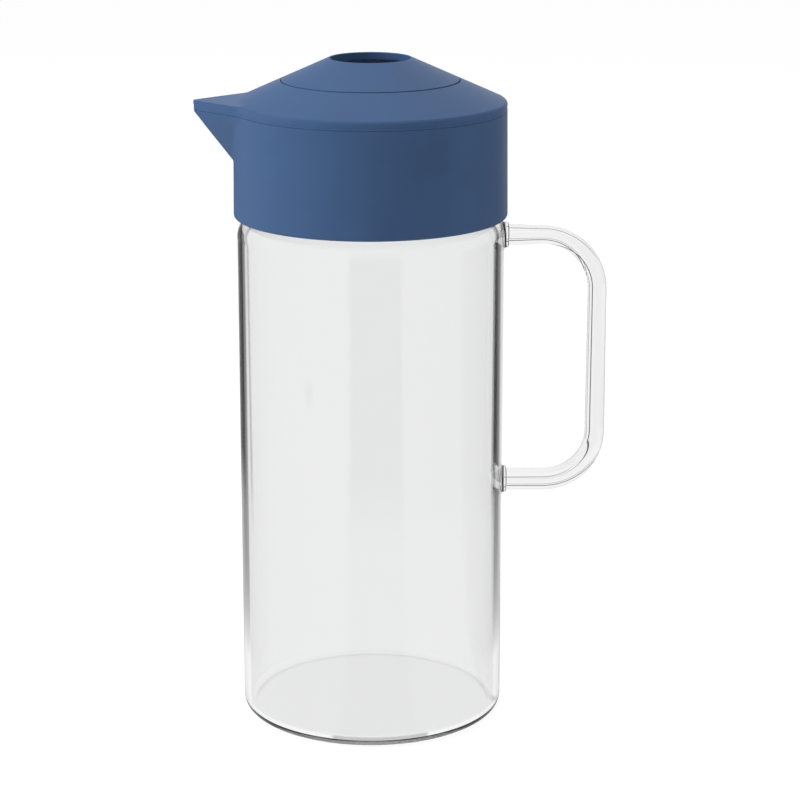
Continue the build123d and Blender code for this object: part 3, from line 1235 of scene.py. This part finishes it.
@dataclass
class LidCollar:
    """The lid's deep skirt with the shelf, the plug and the lower half of the beak."""

    finish: bpy.types.Material
    beak: BeakForm
    top_radius: float = 0.0517
    wall: float = 0.0022
    bottom_rounding: float = 0.001
    seam_rounding: float = 0.00028
    small_rounding: float = 0.0003
    shelf_top: float = 0.2175
    shelf_bottom: float = 0.2153
    skirt_mark: float = 0.208
    row_steps: tuple[int, ...] = (5, 5, 22, 8, 2)
    edge_steps: tuple[int, int] = (8, 4)
    edge_inset: float = 0.0012
    plug_radius: float = 0.0406
    plug_bore: float = 0.0386
    bead_radius: float = 0.042
    bead_top: float = 0.2043
    plug_bottom: float = 0.2026
    mouth_bottom: float = 0.2328
    wedge_turn: float = math.radians(30.0)
    turn_steps: tuple[int, int, int] = (14, 90, 240)
    mouth_steps: int = 8
    groove_edge: float = 0.0006
    groove_depth: float = 0.0012
    blend_at_seam: float = 0.0014
    inner_blend: float = 0.0006

    @cached_property
    def bottom(self) -> float:
        """Height of the skirt's lower edge, from the frame."""
        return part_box("lid_collar")[0].z

    @cached_property
    def seam(self) -> float:
        """Height of the seam, from the frame."""
        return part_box("lid_collar")[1].z

    @cached_property
    def bottom_radius(self) -> float:
        """Radius of the skirt at its lower edge, from the frame."""
        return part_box("lid_collar")[1].y

    def radius_at(self, turn: float, height: float, inset: float) -> float:
        """Radius of the skirt or the beak, whichever is further out.

        Args:
            turn: Angle from the beak's middle.
            height: Height over the base.
            inset: How far inside the outer side.

        Returns:
            The radius, softly handed over between skirt and beak.
        """
        share = (height - self.bottom) / (self.seam - self.bottom)
        skirt = self.bottom_radius + (self.top_radius - self.bottom_radius) * share - inset
        beak = self.beak.radius_at(turn, height, inset)
        width = self.blend_at_seam * smooth_step(self.shelf_top, self.seam, height)
        return soft_max(skirt, beak, width)

    def rows(self, low: float, high: float) -> list[float]:
        """Heights of the skirt's rows between two heights.

        Args:
            low: The lower height.
            high: The upper height.

        Returns:
            The heights, with both ends.
        """
        marks = [self.bottom + self.bottom_rounding, self.skirt_mark, self.shelf_top,
                 self.mouth_bottom, self.beak.tip_height, self.seam - self.seam_rounding]
        every = []
        for start, end, count in zip(marks, marks[1:], self.row_steps):
            every += spread(start, end, count)[:-1]
        every.append(marks[-1])
        return [height for height in every if low - TINY <= height <= high + TINY]

    def outside(self, turn: float, low: float, high: float) -> Outline:
        """The outer side between two heights, from below.

        Args:
            turn: Angle from the beak's middle.
            low: Where it starts.
            high: Where it ends.

        Returns:
            Its points.
        """
        points = []
        low_steps, seam_steps = self.edge_steps
        if low <= self.bottom:
            turn_in = self.bottom_rounding
            for step in spread(0.0, math.pi / 2, low_steps)[:-1]:
                height = self.bottom + turn_in * (1 - math.cos(step))
                radius = self.radius_at(turn, height, 0.0) - turn_in * (1 - math.sin(step))
                points.append((radius, height))
        points += [(self.radius_at(turn, height, 0.0), height) for height in self.rows(low, high)]
        if high >= self.seam:
            edge = self.seam_rounding
            for step in spread(0.0, math.pi / 2, seam_steps)[1:]:
                height = self.seam - edge * (1 - math.sin(step))
                radius = self.radius_at(turn, height, 0.0) - edge * (1 - math.cos(step))
                points.append((radius, height))
        return points

    def top_edge(self, turn: float) -> Outline:
        """The top edge with the gasket's groove, from outside to inside.

        Args:
            turn: Angle from the beak's middle.

        Returns:
            Its points.
        """
        outer = self.radius_at(turn, self.seam, self.groove_edge)
        inner = self.radius_at(turn, self.seam, self.wall - self.groove_edge)
        floor = self.seam - self.groove_depth
        return [(outer, self.seam), (outer, floor), (inner, floor), (inner, self.seam)]

    def inside(self, turn: float, high: float) -> Outline:
        """The inner side above the shelf, from above.

        Args:
            turn: Angle from the beak's middle.
            high: Where it starts.

        Returns:
            Its points.
        """
        bore = self.top_radius - self.wall
        heights = [height for height in reversed(self.rows(self.shelf_top, high))]
        if high >= self.seam:
            heights[0] = self.seam
        return [
            (soft_max(bore, self.beak.radius_at(turn, height, self.wall), self.inner_blend), height)
            for height in heights
        ]

    def underside(self) -> Outline:
        """The shelf, the plug and the skirt's bore, from the shelf's top down.

        Returns:
            Its points.
        """
        bore = self.top_radius - self.wall
        small = self.small_rounding
        corners = [
            (bore, self.shelf_top, 0.0),
            (self.plug_bore, self.shelf_top, small),
            (self.plug_bore, self.plug_bottom, small),
            (self.bead_radius, self.plug_bottom, small * 2),
            (self.bead_radius, self.bead_top, small),
            (self.plug_radius, self.bead_top, small),
            (self.plug_radius, self.shelf_bottom, small),
            (bore, self.shelf_bottom, small),
            (bore, self.bottom, small),
            (self.bottom_radius - self.edge_inset, self.bottom, 0.0),
        ]
        return rounded(corners, closed=False)[1:]

    def turns(self) -> list[float]:
        """Angles of the columns from one side of the mouth round to the other.

        Returns:
            The angles.
        """
        nose_steps, wedge_steps, round_steps = self.turn_steps
        side = spread(self.beak.mouth_turn, self.beak.nose_turn, nose_steps)[:-1]
        side += spread(self.beak.nose_turn, self.wedge_turn, wedge_steps)[:-1]
        round_part = spread(self.wedge_turn, math.tau - self.wedge_turn, round_steps)
        return side + round_part + [math.tau - turn for turn in reversed(side)]

    def build(self) -> bpy.types.Object:
        """Builds the collar.

        Returns:
            The dressed piece.
        """
        draft = MeshDraft()
        draft.sweep(
            [math.remainder(turn, math.tau) for turn in self.turns()],
            lambda turn: self.outside(turn, self.bottom, self.seam) + self.top_edge(turn)
            + self.inside(turn, self.seam) + self.underside(),
        )
        draft.sweep(
            spread(-self.beak.mouth_turn, self.beak.mouth_turn, self.mouth_steps),
            lambda turn: self.outside(turn, self.bottom, self.mouth_bottom)
            + self.inside(turn, self.mouth_bottom) + self.underside(),
        )
        for turn in (-self.beak.mouth_turn, self.beak.mouth_turn):
            inner = [point for point in self.inside(turn, self.seam)
                     if point[1] >= self.mouth_bottom - TINY]
            draft.wall(
                turn, self.outside(turn, self.mouth_bottom, self.seam) + self.top_edge(turn) + inner
            )
        piece = draft.build("lid_collar_skin")
        dress(piece, self.finish, Body.COLLAR, Slot.PLASTIC, "lid_collar")
        return piece


@dataclass
class LidCover:
    """The conical cover with the beak's roof and the well for the centre cap."""

    finish: bpy.types.Material
    beak: BeakForm
    edge_radius: float = 0.0517
    edge_height: float = 0.00325
    slope: float = 0.452
    cone_edge: float = 0.0495
    roof_edge: float = 0.0507
    roof_reach: float = 0.0015
    cap_seam_radius: float = 0.0337
    cap_gap: float = 0.0003
    wall: float = 0.0022
    corner_leg: float = 0.00095
    corner_turn: float = math.radians(21.6)
    corner_growth: float = 1.3
    longest_leg: float = 0.9
    least_step: float = 0.00005
    lip_height: float = 0.00045
    lip_top: float = 0.0007
    undercut: float = 0.00018
    seam_rounding: float = 0.00028
    small_rounding: float = 0.0003
    edge_rounding: float = 0.0003
    cap_edge: float = 0.002
    ledge_width: float = 0.0027
    ledge_thickness: float = 0.0018
    well_depth: float = 0.0054
    well_wall: float = 0.0016
    ring_depth: float = 0.0056
    ring_width: float = 0.0015
    ring_clearance: float = 0.0003
    roof_height: float = 0.2418
    roof_thickness: float = 0.0016
    nose_rounding: float = 0.00025
    bore_margin: float = 0.0006
    seat_rounding: float = 0.0001
    side_steps: tuple[int, int, int] = (4, 10, 10)
    turn_steps: tuple[int, int, int] = (14, 80, 250)
    mouth_steps: int = 8
    ring_gap_turn: float = math.radians(24)
    blend: float = 0.0014

    @cached_property
    def seam(self) -> float:
        """Height of the seam, from the frame."""
        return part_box("lid_collar")[1].z

    @cached_property
    def cap_seam_height(self) -> float:
        """Height of the cone at the cap's seam."""
        return self.seam + self.edge_height + (self.edge_radius - self.cap_seam_radius) * self.slope

    @cached_property
    def ledge_top(self) -> float:
        """Height of the ledge that the cap rests on."""
        return self.cap_seam_height - self.cap_edge

    @cached_property
    def ring_outer(self) -> float:
        """Outer radius of the locating ring."""
        return self.edge_radius - self.wall - self.ring_clearance

    @cached_property
    def mouth_top(self) -> float:
        """Height of the roof's underside in the beak."""
        return self.roof_height - self.roof_thickness

    def cone(self, radius: float) -> float:
        """Height of the outer cone.

        Args:
            radius: Distance from the axis.

        Returns:
            The height there.
        """
        return self.cap_seam_height + (self.cap_seam_radius - radius) * self.slope

    def underside(self, radius: float) -> float:
        """Height of the inner cone.

        Args:
            radius: Distance from the axis.

        Returns:
            The height there.
        """
        return self.cone(radius) - self.wall * math.sqrt(1 + self.slope ** 2)

    def radius_at(self, turn: float) -> float:
        """Outer radius of the cover or the beak, whichever is further out.

        Args:
            turn: Angle from the beak's middle.

        Returns:
            The radius there.
        """
        beak = self.beak.radius_at(turn, self.seam, 0.0)
        return soft_max(self.edge_radius, beak, self.blend)

    def inner_radius_at(self, turn: float) -> float:
        """Inner radius of the beak's wall, or of the locating ring.

        Args:
            turn: Angle from the beak's middle.

        Returns:
            The radius there.
        """
        return max(self.ring_outer, self.beak.radius_at(turn, self.seam, self.wall))

    def outside(self, turn: float, from_mouth: bool) -> Outline:
        """The outer side, from the seam over the corner and up the cone to the cap.

        Args:
            turn: Angle from the beak's middle.
            from_mouth: Whether it starts at the mouth's top instead of the seam.

        Returns:
            Its points.
        """
        edge = self.radius_at(turn)
        flat = smooth_step(0.0, self.roof_reach, edge - self.edge_radius)
        meet = self.cone_edge + flat * (self.roof_edge - self.cone_edge)
        corner = self.cone(self.edge_radius) * (1 - flat) + self.roof_height * flat
        from_nose = min(abs(turn) / self.corner_turn, 1.0) ** self.corner_growth
        leg = self.nose_rounding + (self.corner_leg - self.nose_rounding) * from_nose
        slant = 1 / math.sin(min(self.beak.half_angle + abs(turn), math.pi / 2))
        reach = math.hypot(edge - meet, self.cone(meet) - corner)
        inward = min(leg * (1 + (slant - 1) * flat), self.longest_leg * reach)
        direction = ((meet - edge) / reach, (self.cone(meet) - corner) / reach)
        low_end = corner - leg
        row = min(self.mouth_top, low_end - self.least_step)
        points: Outline = []
        seam_steps, corner_steps, cone_steps = self.side_steps
        if not from_mouth:
            small = self.seam_rounding
            for step in spread(0.0, math.pi / 2, seam_steps):
                points.append((edge - small * (1 - math.sin(step)),
                               self.seam + small * (1 - math.cos(step))))
            shy = self.undercut * (1 - flat)
            points.append((edge, self.seam + self.lip_height))
            points.append((edge - shy, self.seam + self.lip_top))
        points.append((edge, row))
        for step in spread(0.0, math.pi / 2, corner_steps):
            along = inward * (1 - math.cos(step))
            points.append((edge + direction[0] * along,
                           corner - leg * (1 - math.sin(step)) + direction[1] * along))
        bore = self.cap_seam_radius + self.cap_gap / 2
        for radius in spread(meet, bore + self.bore_margin, cone_steps):
            points.append((radius, self.cone(radius)))
        return points

    def well(self) -> Outline:
        """The cap's seat and the cover's underside, from the seam edge inwards and down.

        Returns:
            Its points.
        """
        bore = self.cap_seam_radius + self.cap_gap / 2
        well_bore = bore - self.ledge_width
        well = well_bore + self.well_wall
        ledge_bottom = self.ledge_top - self.ledge_thickness
        ledge_end = self.cap_seam_radius + (
            (self.underside(self.cap_seam_radius) - ledge_bottom) / self.slope
        )
        small = self.small_rounding
        ring_inner = self.ring_outer - self.ring_width
        corners = [
            (bore + self.bore_margin, self.cone(bore + self.bore_margin), 0.0),
            (bore, self.cone(bore), self.edge_rounding),
            (bore, self.ledge_top, self.seat_rounding),
            (well_bore, self.ledge_top, small),
            (well_bore, self.ledge_top - self.well_depth, small),
            (well, self.ledge_top - self.well_depth, small),
            (well, ledge_bottom, small),
            (ledge_end, ledge_bottom, small),
            (ring_inner, self.underside(ring_inner), 0.0),
        ]
        return rounded(corners, closed=False)[1:]

    def ring(self) -> Outline:
        """The locating ring that sits in the collar, from inside to outside.

        Returns:
            Its points.
        """
        ring_inner = self.ring_outer - self.ring_width
        bottom = self.seam - self.ring_depth
        corners = [
            (ring_inner, self.underside(ring_inner), 0.0),
            (ring_inner, bottom, self.small_rounding),
            (self.ring_outer, bottom, self.small_rounding),
            (self.ring_outer, self.seam, 0.0),
        ]
        return rounded(corners, closed=False)[1:]

    def channel(self, turn: float, to_seam: bool) -> Outline:
        """The roof's underside in the beak, outwards and down to the seam.

        Args:
            turn: Angle from the beak's middle.
            to_seam: Whether it runs on down to the seam.

        Returns:
            Its points.
        """
        start = self.cap_seam_radius + (
            (self.underside(self.cap_seam_radius) - self.mouth_top) / self.slope
        )
        inner = self.inner_radius_at(turn)
        points = [(start, self.mouth_top), (inner, self.mouth_top)]
        if to_seam:
            points.append((inner, self.seam))
        return points

    def build(self) -> bpy.types.Object:
        """Builds the cover.

        Returns:
            The dressed piece.
        """
        draft = MeshDraft()
        gap, mouth = self.ring_gap_turn, self.beak.mouth_turn
        nose_steps, side_steps, round_steps = self.turn_steps
        draft.sweep(
            [math.remainder(turn, math.tau) for turn in spread(gap, math.tau - gap, round_steps)],
            lambda turn: self.outside(turn, False) + self.well() + self.ring(),
        )
        side = spread(mouth, self.beak.nose_turn, nose_steps)[:-1]
        side += spread(self.beak.nose_turn, gap, side_steps)
        for sign in (-1.0, 1.0):
            draft.sweep(
                [sign * turn for turn in side],
                lambda turn: self.outside(turn, False) + self.well() + self.channel(turn, True),
            )
            draft.wall(
                sign * gap,
                self.well()[-1:] + self.ring() + self.channel(gap, False)[::-1],
            )
            draft.wall(sign * mouth, self.mouth_side())
        draft.sweep(
            spread(-mouth, mouth, self.mouth_steps),
            lambda turn: self.outside(turn, True) + self.well() + self.channel(turn, False),
        )
        piece = draft.build("lid_cover_skin")
        dress(piece, self.finish, Body.COVER, Slot.PLASTIC, "lid_cover")
        return piece

    def mouth_side(self) -> Outline:
        """One side of the mouth in the beak's nose.

        Returns:
            Its points.
        """
        rising = [point for point in self.outside(self.beak.mouth_turn, False)
                  if point[1] <= self.mouth_top + TINY]
        inner = self.inner_radius_at(self.beak.mouth_turn)
        return rising + [(inner, self.mouth_top), (inner, self.seam)]


@dataclass
class CentreCap:
    """The round cap in the cover's middle, with the filling hole."""

    finish: bpy.types.Material
    cover: LidCover
    gap: float = 0.0003
    hole_radius: float = 0.01515
    lip_depth: float = 0.003
    lip_width: float = 0.0019
    wall: float = 0.0022
    rim_rounding: float = 0.0004
    small_rounding: float = 0.00025
    skirt_clearance: float = 0.0004
    skirt_depth: float = 0.005
    skirt_wall: float = 0.0024
    seal_drop: float = 0.002
    groove_height: float = 0.0016
    groove_depth: float = 0.0011
    turn_steps: int = 240

    def corners(self) -> list[Corner]:
        """The cap's corners, from its outer edge inwards and back underneath.

        Returns:
            The radius, height and rounding of each corner.
        """
        cover = self.cover
        edge = cover.cap_seam_radius - self.gap / 2
        ledge = cover.ledge_top
        skirt = cover.cap_seam_radius + self.gap / 2 - cover.ledge_width - self.skirt_clearance
        skirt_inner = skirt - self.skirt_wall
        lip_inner = self.hole_radius + self.lip_width
        thickness = self.wall * math.sqrt(1 + cover.slope ** 2)
        hole_top = cover.cone(self.hole_radius)
        groove_top = ledge - self.seal_drop
        groove_bottom = groove_top - self.groove_height
        groove = skirt - self.groove_depth
        small = self.small_rounding
        return [
            (edge, cover.cone(edge), cover.edge_rounding / 2),
            (self.hole_radius, hole_top, self.rim_rounding),
            (self.hole_radius, hole_top - self.lip_depth, small),
            (lip_inner, hole_top - self.lip_depth, small),
            (lip_inner, cover.cone(lip_inner) - thickness, small),
            (skirt_inner, cover.cone(skirt_inner) - thickness, small),
            (skirt_inner, ledge - self.skirt_depth, small),
            (skirt, ledge - self.skirt_depth, small),
            (skirt, groove_bottom, 0.0),
            (groove, groove_bottom, 0.0),
            (groove, groove_top, 0.0),
            (skirt, groove_top, 0.0),
            (skirt, ledge, 0.0),
            (edge, ledge, small),
        ]

    def build(self) -> bpy.types.Object:
        """Builds the cap.

        Returns:
            The dressed piece.
        """
        draft = MeshDraft()
        outline = rounded(self.corners())
        draft.sweep(spread(-math.pi, math.pi, self.turn_steps), lambda turn: outline)
        piece = draft.build("centre_cap_skin")
        dress(piece, self.finish, Body.CAP, Slot.PLASTIC, "centre_cap")
        return piece


@dataclass
class Seals:
    """The three silicone seals, which keep their own shapes."""

    finish: bpy.types.Material

    def build(self) -> None:
        """Gives each seal its finish."""
        for name in ("neck_seal", "seam_gasket", "cap_seal"):
            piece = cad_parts[name]
            piece.data.materials.clear()
            piece.data.materials.append(self.finish)
            log.info("%s: dressed", name)


@dataclass(frozen=True)
class Lamp:
    """One square soft lamp: where it hangs, the side of its square and its watts."""

    name: str
    place: Place
    size: float
    power: float


@dataclass
class Studio:
    """The pale floor, the soft light and the camera."""

    profiles: dict[str, bpy.types.ShaderNodeTree]
    camera_place: Place = (0.0, -0.9605, 0.3881)
    camera_pitch: float = math.radians(74.645)
    camera_yaw: float = math.radians(-0.665)
    lens: float = 115.23
    sensor: float = 36.0
    clip_start: float = 0.05
    clip_end: float = 60.0
    glossy_bounces: int = 12
    lamps: tuple[Lamp, ...] = (
        Lamp("key_left", (-1.6, -0.4, 0.7), 0.9, 18.2),
        Lamp("fill_right", (1.3, -1.0, 0.8), 1.0, 1.1),
        Lamp("top", (0.0, 0.0, 1.7), 1.2, 10.6),
    )
    aim: Place = (0.0, 0.0, 0.15)
    floor_half: float = 12.0
    floor_drop: float = 0.0003
    ambient: float = 0.33
    high_gain: float = 1.2
    high_inner: float = 0.9
    top_rise: Range = (0.3, 0.85)
    top_level: float = 0.95
    rod_level: float = 0.95
    straight_level: float = 0.945
    other_level: float = 0.7
    # Dark lines that rays through the rod see: stripes in the surroundings, and painted dark lines
    # on the floor.
    line_level: float = 0.12
    spokes: Stops = ((25.4, 2.4), (45.5, 1.8))
    spokes_start: Range = (0.29, 0.33)
    arcs: tuple[tuple[float, float, float, float], ...] = (
        (0.25, 0.012, -14.0, 17.0), (0.32, 0.014, 14.0, 12.0),
    )
    bands: Stops = ((0.054, 0.012), (0.19, 0.035))
    side_offset: float = 0.049
    grip_offset: float = 0.087
    # Painted light on the floor that reflections see: brighter near the jug, and brighter still
    # close to it.
    near_fade: Range = (0.27, 0.42)
    near_level: float = 0.6
    close_distance: float = 0.088
    close_power: float = 1.65
    paper_glow: float = 0.9
    paper_shade: tuple[float, float, float, float] = (0.2, 0.2, 0.2, 1.0)
    paper_color: tuple[float, float, float, float] = (0.85, 0.85, 0.85, 1.0)

    def build_camera(self) -> None:
        """Places the camera at the picture's angle."""
        data = bpy.data.cameras.new("camera")
        data.lens = self.lens
        data.sensor_width = self.sensor
        data.clip_start = self.clip_start
        data.clip_end = self.clip_end
        camera = bpy.data.objects.new("camera", data)
        camera.location = self.camera_place
        camera.rotation_euler = (self.camera_pitch, 0.0, self.camera_yaw)
        bpy.context.scene.collection.objects.link(camera)
        bpy.context.scene.camera = camera

    def seen_level(self, board: NodeBoard, gloss: object, inner: object,
                   rod: object) -> bpy.types.NodeSocket:
        """The brightness that the surroundings show to the camera and the glass.

        Args:
            board: The board of the world or the floor.
            gloss: What a plain reflection sees.
            inner: What is seen by way of a reflection inside one wall.
            rod: What is seen straight through the solid rod.

        Returns:
            The brightness, plain white to the camera.
        """
        path = board.node("ShaderNodeLightPath")
        crossed = path.outputs["Transmission Depth"]
        bounced = board.math("GREATER_THAN", path.outputs["Glossy Depth"], ONE_OR_MORE)
        entered = board.math("GREATER_THAN", crossed, ONE_OR_MORE)
        passed = board.math("GREATER_THAN", crossed, THREE_OR_MORE)
        through = board.choose(passed, rod, self.straight_level)
        through = board.choose(entered, 1.0, through)
        mirrored = board.choose(passed, inner, self.other_level)
        mirrored = board.choose(entered, gloss, mirrored)
        return board.choose(bounced, through, mirrored)

    def profile(self, board: NodeBoard, kind: str, bearing: object) -> bpy.types.NodeSocket:
        """Places one of the studio's profiles.

        Args:
            board: The board to place it on.
            kind: The profile's name, gloss or inner.
            bearing: The direction round the jug, in radians from the back.

        Returns:
            The brightness in that direction.
        """
        made = board.node("ShaderNodeGroup", node_tree=self.profiles[kind])
        board.plug(made.inputs["Bearing"], bearing)
        return made.outputs["Brightness"]

    def world_level(self, board: NodeBoard) -> bpy.types.NodeSocket:
        """The brightness of the surroundings above the floor.

        Args:
            board: The world's board.

        Returns:
            The brightness, as it shows to each kind of ray.
        """
        place = board.node("ShaderNodeTexCoord")
        parts = board.node("ShaderNodeSeparateXYZ")
        board.feed(parts, Vector=place.outputs["Generated"])
        across, along, upward = parts.outputs
        bearing = board.math("ARCTAN2", across, along)
        top = board.ramp(upward, *self.top_rise, 0.0, self.top_level)
        gloss = board.math("MULTIPLY", self.profile(board, "gloss", bearing), self.high_gain)
        gloss = board.math("MAXIMUM", gloss, top)
        spokes = board.stripes(bearing, math.radians(1), self.spokes)
        rod = board.choose(spokes, self.rod_level, self.line_level)
        bands = board.stripes(upward, 1.0, self.bands)
        rod = board.choose(bands, rod, self.line_level)
        return self.seen_level(board, gloss, self.high_inner, rod)

    def build_world(self) -> None:
        """Makes the surroundings, whose brightness depends on how they are seen."""
        world = bpy.data.worlds.new("studio")
        world.use_nodes = True
        bpy.context.scene.world = world
        board = NodeBoard(world.node_tree)
        path = board.node("ShaderNodeLightPath")
        glow = board.node("ShaderNodeBackground")
        strength = board.choose(path.outputs["Is Diffuse Ray"], self.world_level(board),
                                self.ambient)
        board.feed(glow, Color=(1.0, 1.0, 1.0, 1.0), Strength=strength)
        output = board.node("ShaderNodeOutputWorld")
        board.feed(output, Surface=glow.outputs[0])

    def floor_painted_reflections(self, board: NodeBoard) -> bpy.types.NodeSocket:
        """The floor's painted reflections: what it shows to reflections and to rays through glass,
        apart from the shadow on it.

        Args:
            board: The floor material's board.

        Returns:
            The brightness, as it shows to each kind of ray.
        """
        degree = math.radians(1)
        place = board.node("ShaderNodeNewGeometry")
        parts = board.node("ShaderNodeSeparateXYZ")
        board.feed(parts, Vector=place.outputs["Position"])
        across, along, _ = parts.outputs
        distance = board.node("ShaderNodeVectorMath", operation="LENGTH")
        board.plug(distance.inputs[0], place.outputs["Position"])
        away = distance.outputs["Value"]
        bearing = board.math("ARCTAN2", across, along)
        past_side = board.math("SUBTRACT", board.math("ABSOLUTE", across), self.side_offset)
        past_side = board.math("MAXIMUM", past_side, 0.0)
        past_side = board.math("MULTIPLY", past_side, board.math("SIGN", across))
        from_side = board.math("ARCTAN2", past_side, along)
        from_grip = board.math(
            "ARCTAN2", board.math("SUBTRACT", across, self.grip_offset), along
        )
        # Painted light: a brighter floor near the jug, for reflections.
        near = board.ramp(away, *self.near_fade, self.near_level, 0.0)
        # Painted light: brighter still close to the jug, for reflections inside the wall.
        share = board.math("DIVIDE", self.close_distance, away)
        close = board.math("POWER", board.math("MINIMUM", share, 1.0), self.close_power)
        gloss = board.math("MAXIMUM", near, self.profile(board, "gloss", bearing))
        inner = board.math("MAXIMUM", near, self.profile(board, "inner", bearing))
        edge = board.math("MAXIMUM", close, self.profile(board, "inner", from_side))
        behind = board.math("GREATER_THAN", along, 0.0)
        inner = board.choose(behind, inner, edge)
        # Painted shade: dark spokes and arcs on the floor, seen only through the rod.
        far = board.ramp(away, *self.spokes_start, 0.0, 1.0)
        spokes = board.math("MULTIPLY", board.stripes(from_grip, degree, self.spokes), far)
        rod = board.choose(spokes, self.rod_level, self.line_level)
        for reach, half_width, middle, half_turn in self.arcs:
            ring = board.stripe(away, reach, half_width)
            part = board.stripe(from_grip, middle * degree, half_turn * degree)
            rod = board.choose(board.math("MULTIPLY", ring, part), rod, self.line_level)
        return self.seen_level(board, gloss, inner, rod)

    def build_floor(self) -> None:
        """Lays the pale floor, white to the camera but for the object's shadow."""
        half = self.floor_half
        mesh = bpy.data.meshes.new("floor")
        mesh.from_pydata(
            [(-half, -half, -self.floor_drop), (half, -half, -self.floor_drop),
             (half, half, -self.floor_drop), (-half, half, -self.floor_drop)],
            [], [(0, 1, 2, 3)],
        )
        floor = bpy.data.objects.new("floor", mesh)
        bpy.context.scene.collection.objects.link(floor)
        finish = bpy.data.materials.new("pale_floor")
        finish.use_nodes = True
        mesh.materials.append(finish)
        board = NodeBoard(finish.node_tree)
        path = board.node("ShaderNodeLightPath")
        camera = path.outputs["Is Camera Ray"]
        diffuse = path.outputs["Is Diffuse Ray"]
        # An even white to the camera; painted reflections to reflections and to rays through glass.
        shown = board.choose(camera, self.floor_painted_reflections(board), self.paper_glow)
        shine = board.node("ShaderNodeEmission")
        board.feed(shine, Color=(1.0, 1.0, 1.0, 1.0),
                   Strength=board.choose(diffuse, shown, 0.0))
        matt = board.node("ShaderNodeBsdfDiffuse")
        dim = board.blend(camera, (0.0, 0.0, 0.0, 1.0), self.paper_shade)
        board.feed(matt, Color=board.blend(diffuse, dim, self.paper_color))
        both = board.node("ShaderNodeAddShader")
        board.plug(both.inputs[0], matt.outputs[0])
        board.plug(both.inputs[1], shine.outputs[0])
        output = board.node("ShaderNodeOutputMaterial")
        board.feed(output, Surface=both.outputs[0])

    def build_lamp(self, lamp: Lamp) -> None:
        """Hangs one lamp and turns it to the jug.

        Args:
            lamp: The lamp to hang.
        """
        data = bpy.data.lights.new(lamp.name, "AREA")
        data.shape = "SQUARE"
        data.size = lamp.size
        data.energy = lamp.power
        light = bpy.data.objects.new(lamp.name, data)
        light.location = lamp.place
        aim = Vector(self.aim) - Vector(lamp.place)
        light.rotation_euler = aim.to_track_quat("-Z", "Y").to_euler()
        light.visible_glossy = False
        light.visible_transmission = False
        light.visible_camera = False
        bpy.context.scene.collection.objects.link(light)

    def build(self) -> None:
        """Builds the whole studio."""
        scene = bpy.context.scene
        scene.view_settings.view_transform = "Standard"
        scene.cycles.glossy_bounces = self.glossy_bounces
        self.build_camera()
        self.build_world()
        self.build_floor()
        for lamp in self.lamps:
            self.build_lamp(lamp)
        log.info("studio: camera, floor, lamps and surroundings")


def main() -> None:
    """Builds the studio and the jug, piece by piece."""
    logging.basicConfig(level=logging.INFO, format="%(message)s")
    profiles = {
        "gloss": studio_profile("gloss_profile", GLOSS_STOPS),
        "inner": studio_profile("painted_inner_profile", PAINTED_INNER_REFLECTION),
    }
    Studio(profiles).build()
    grain = moulded_grain()
    blue = MattePlastic(grain).build()
    grey = Silicone(grain).build()
    glass = ClearGlass().build()
    beak = BeakForm()
    GlassJug(glass).build()
    LidCollar(blue, beak).build()
    cover = LidCover(blue, beak)
    cover.build()
    CentreCap(blue, cover).build()
    Seals(grey).build()


if __name__ == "__main__":
    main()
